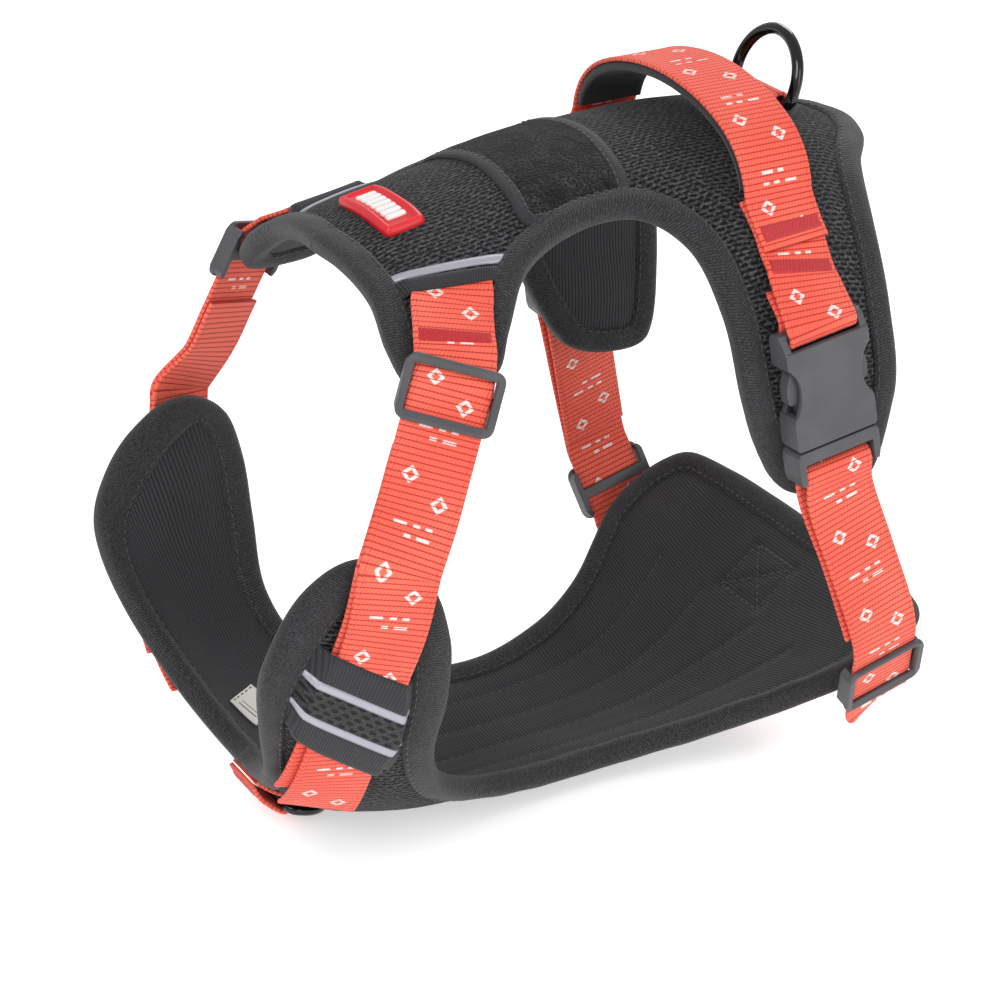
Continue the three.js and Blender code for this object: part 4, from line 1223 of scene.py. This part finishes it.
EAR = [
    (-1, -2.6), (-1, 0.6), (0.2, 2.2), (3.2, 3.9), (6.5, 4.9), (9.6, 4.9), (9.6, -4.9), (2.0, -4.9),
    (0, -4.2)]
WAIST = spline([
    (16, 8.6), (15.1, 10.6), (13.0, 13.6), (11.9, 18.4), (12.5, 23.2), (14.2, 27), (15.7, 29.4)], 0.5)
PLATE_HALF = [(15.3, 4.5), (15.9, 5.4), *map(tuple, WAIST), (15.8, 38.4), (15.0, 39.8)]
female_blocks = [
    prism(both_sides(PLATE_HALF), 2.9, 5.0), prism(both_sides(PLATE_HALF), -5.0, -2.9),
    cuboid(-15.9, 15.9, 7.0, 10.4, -4.9, 4.9), cuboid(-15.4, 15.4, -0.9, 2.4, -1.7, 1.7)]
for e in (-1, 1):
    female_blocks.append(side_wall(e, 13.4, 16, EAR))
    cheek = [(12.9, 27.6), (15.0, 27.6), (15.75, 29.6), (15.8, 38.4), (15.0, 39.8), (12.9, 39.8)]
    female_blocks.append(prism([(e * x, y) for x, y in cheek], -4.9, 4.9))
female = moulded("buckle_female_shell_left", female_blocks, BUCKLE_SEAT)
keep_pair(female, "harness", "plastic", "buckle_female_left")

male_blocks = [
    prism(both_sides([(14.9, MALE_TOP), (15.9, MALE_TOP + 1.4), (16, MALE_TOP + 4.6)]), -5, 5),
    cuboid(-15.4, 15.4, MALE_TOP + 8.8, MALE_TOP + 12, -1.7, 1.7),
    cuboid(-2.6, 2.6, 15, MALE_TOP + 1, -2.1, 2.1)]
for e in (-1, 1):
    post = [(13.4, 3), (16, 3), (16, 9), (15.3, 12), (13.4, 12)]
    male_blocks.append(prism([(e * x, MALE_TOP + y) for x, y in post], -4.9, 4.9))
male = moulded("buckle_male_base_left", male_blocks, BUCKLE_SEAT)
keep_pair(male, "buckle_male_left", "plastic", "buckle_male_left")

PRONG = spline([
    (8.2, 40.2), (7.9, 30), (7.4, 20), (7.6, 14), (8.6, 11.2), (10.6, 10.4), (12.8, 11.6), (14.6, 14.2),
    (15.6, 17.6), (15.7, 20.8), (15.1, 23.3), (13.6, 23.6), (12.4, 23.7), (11.9, 25), (11.7, 31),
    (11.5, 40.2)], 0.6, closed=True)
for e, part in ((1, "front"), (-1, "rear")):
    prong = moulded(f"buckle_arm_left_{part}", [prism(PRONG * np.array([e, 1]), -2.3, 2.3)], BUCKLE_SEAT,
                    voxel=0.25, smoothing=3)
    keep_pair(prong, f"buckle_prong_left_{part}", "plastic", f"buckle_prong_left_{part}")


SLIDER_RIM, SLIDER_WINDOW = (15.75, 10.5, 3.4), (13.0, 7.4, 1.2)


def bevelled_frame():
    """Top of the slider's frame: a narrow crest near the outside, sloping down to the opening."""
    section = [(SLIDER_RIM, 1.6), (SLIDER_RIM, 2.6), ((15.2, 9.95, 2.9), 3.1), ((14.7, 9.4, 2.5), 3.1),
               (SLIDER_WINDOW, 2.0), (SLIDER_WINDOW, 1.6)]
    points = [(x, y, z) for size, z in section for x, y in rounded(*size)]
    return points, grid_faces(len(section), len(rounded(*SLIDER_RIM)), True, True)


slider_blocks = [
    bevelled_frame(), prism(rounded(*SLIDER_RIM), 1.1, 2.2, rounded(*SLIDER_WINDOW)),
    cuboid(-15.5, 15.5, -2, 2, -3.1, -1.1)]
for e in (-1, 1):
    rail = [(13.4, -9.0), (14.6, -9.0), (15.75, -7.0), (15.75, 7.0), (14.6, 9.0), (13.4, 9.0)]
    slider_blocks.append(prism([(e * x, y) for x, y in rail], -3.1, 3.1))
for seat, kind in ((SHOULDER, "shoulder"), (GIRTH, "girth")):
    piece = moulded(f"{kind}_slide_left", slider_blocks, seat)
    keep_pair(piece, f"{kind}_slider_left", "plastic", f"{kind}_slider_left")


# ---------------------------------------------------------------- size label

LABEL_CORNERS = [(-33, 11), (-23.4, 18.2), (-36.6, 35.8), (-46.2, 28.6)]
label = patch("size_label_patch", LABEL_CORNERS, on_chest, lambda u, v, t, r: 0 * u - 7.7, 0.3, LABEL)
keep(label, "harness", "label", "size_label")
for number, (a, b) in enumerate(((0, 3), (1, 2))):
    ends = np.array([LABEL_CORNERS[a], LABEL_CORNERS[b]], float)
    seam = ends[0] + (ends[1] - ends[0]) * np.linspace(0.04, 0.96, 12)[:, None]
    middle = np.mean(LABEL_CORNERS, 0)
    seam += (middle - seam) * 0.12
    row = sewn_line(f"label_stitching_{number}", seam, on_chest, lambda u, v: 0 * u - 8.1, -1,
                    pitch=2.6, length=1.8, radius=0.22)
    keep(row, "harness", "label")


# ---------------------------------------------------------------- soft parts that cross a joint

for piece in (handle, handle_lining):
    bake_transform(piece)
for piece, side in ((girth_left, "left"), (girth_right, "right")):
    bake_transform(piece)


# ---------------------------------------------------------------- camera, floor and light

AZIMUTH, ELEVATION, DISTANCE = math.radians(60.2), math.radians(26), 1.03
back_way = Vector((
    math.sin(AZIMUTH) * math.cos(ELEVATION), -math.cos(AZIMUTH) * math.cos(ELEVATION), math.sin(ELEVATION)))
right_way = Vector((math.cos(AZIMUTH), math.sin(AZIMUTH), 0))
up_way = back_way.cross(right_way)
target = Vector(SHIFT / 1000)
camera_data = bpy.data.cameras.new("camera")
camera_data.lens = 108
camera_data.sensor_width = 36
camera_data.clip_start = 0.01
camera = place_in_scene("camera", camera_data)
matrix = Matrix((right_way, up_way, back_way)).transposed().to_4x4()
matrix.translation = target + back_way * DISTANCE
camera.matrix_world = matrix
bpy.context.scene.camera = camera

floor_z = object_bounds()[0].z - 0.0003
floor_mesh = bpy.data.meshes.new("floor")
corners = [(6.0 * x, 6.0 * y, floor_z) for x, y in ((-1, -1), (1, -1), (1, 1), (-1, 1))]
floor_mesh.from_pydata(corners, [], [(0, 1, 2, 3)])
floor_mesh.materials.append(floor_paint())
place_in_scene("floor", floor_mesh)

world = bpy.data.worlds.new("studio")
world.use_nodes = True
sky = world.node_tree.nodes["Background"].inputs
sky["Color"].default_value = (1, 1, 1, 1)
sky["Strength"].default_value = 0.6
bpy.context.scene.world = world
bpy.context.scene.view_settings.view_transform = "Standard"


def soft_box(name, place, aim, size, power):
    data = bpy.data.lights.new(name, "AREA")
    data.shape = "RECTANGLE"
    data.size, data.size_y = size
    data.energy = power
    lamp = place_in_scene(name, data)
    lamp.location = place
    lamp.rotation_euler = (Vector(place) - Vector(aim)).to_track_quat("Z", "Y").to_euler()


centre = (0, 0, 0.12)
soft_box("key", (0.9, -1.1, 1.5), centre, (0.9, 0.9), 17)
soft_box("side", (1.5, 0.5, 0.7), centre, (0.6, 1.0), 6)
soft_box("rim", (-1.0, 1.0, 1.2), centre, (0.8, 0.8), 9)
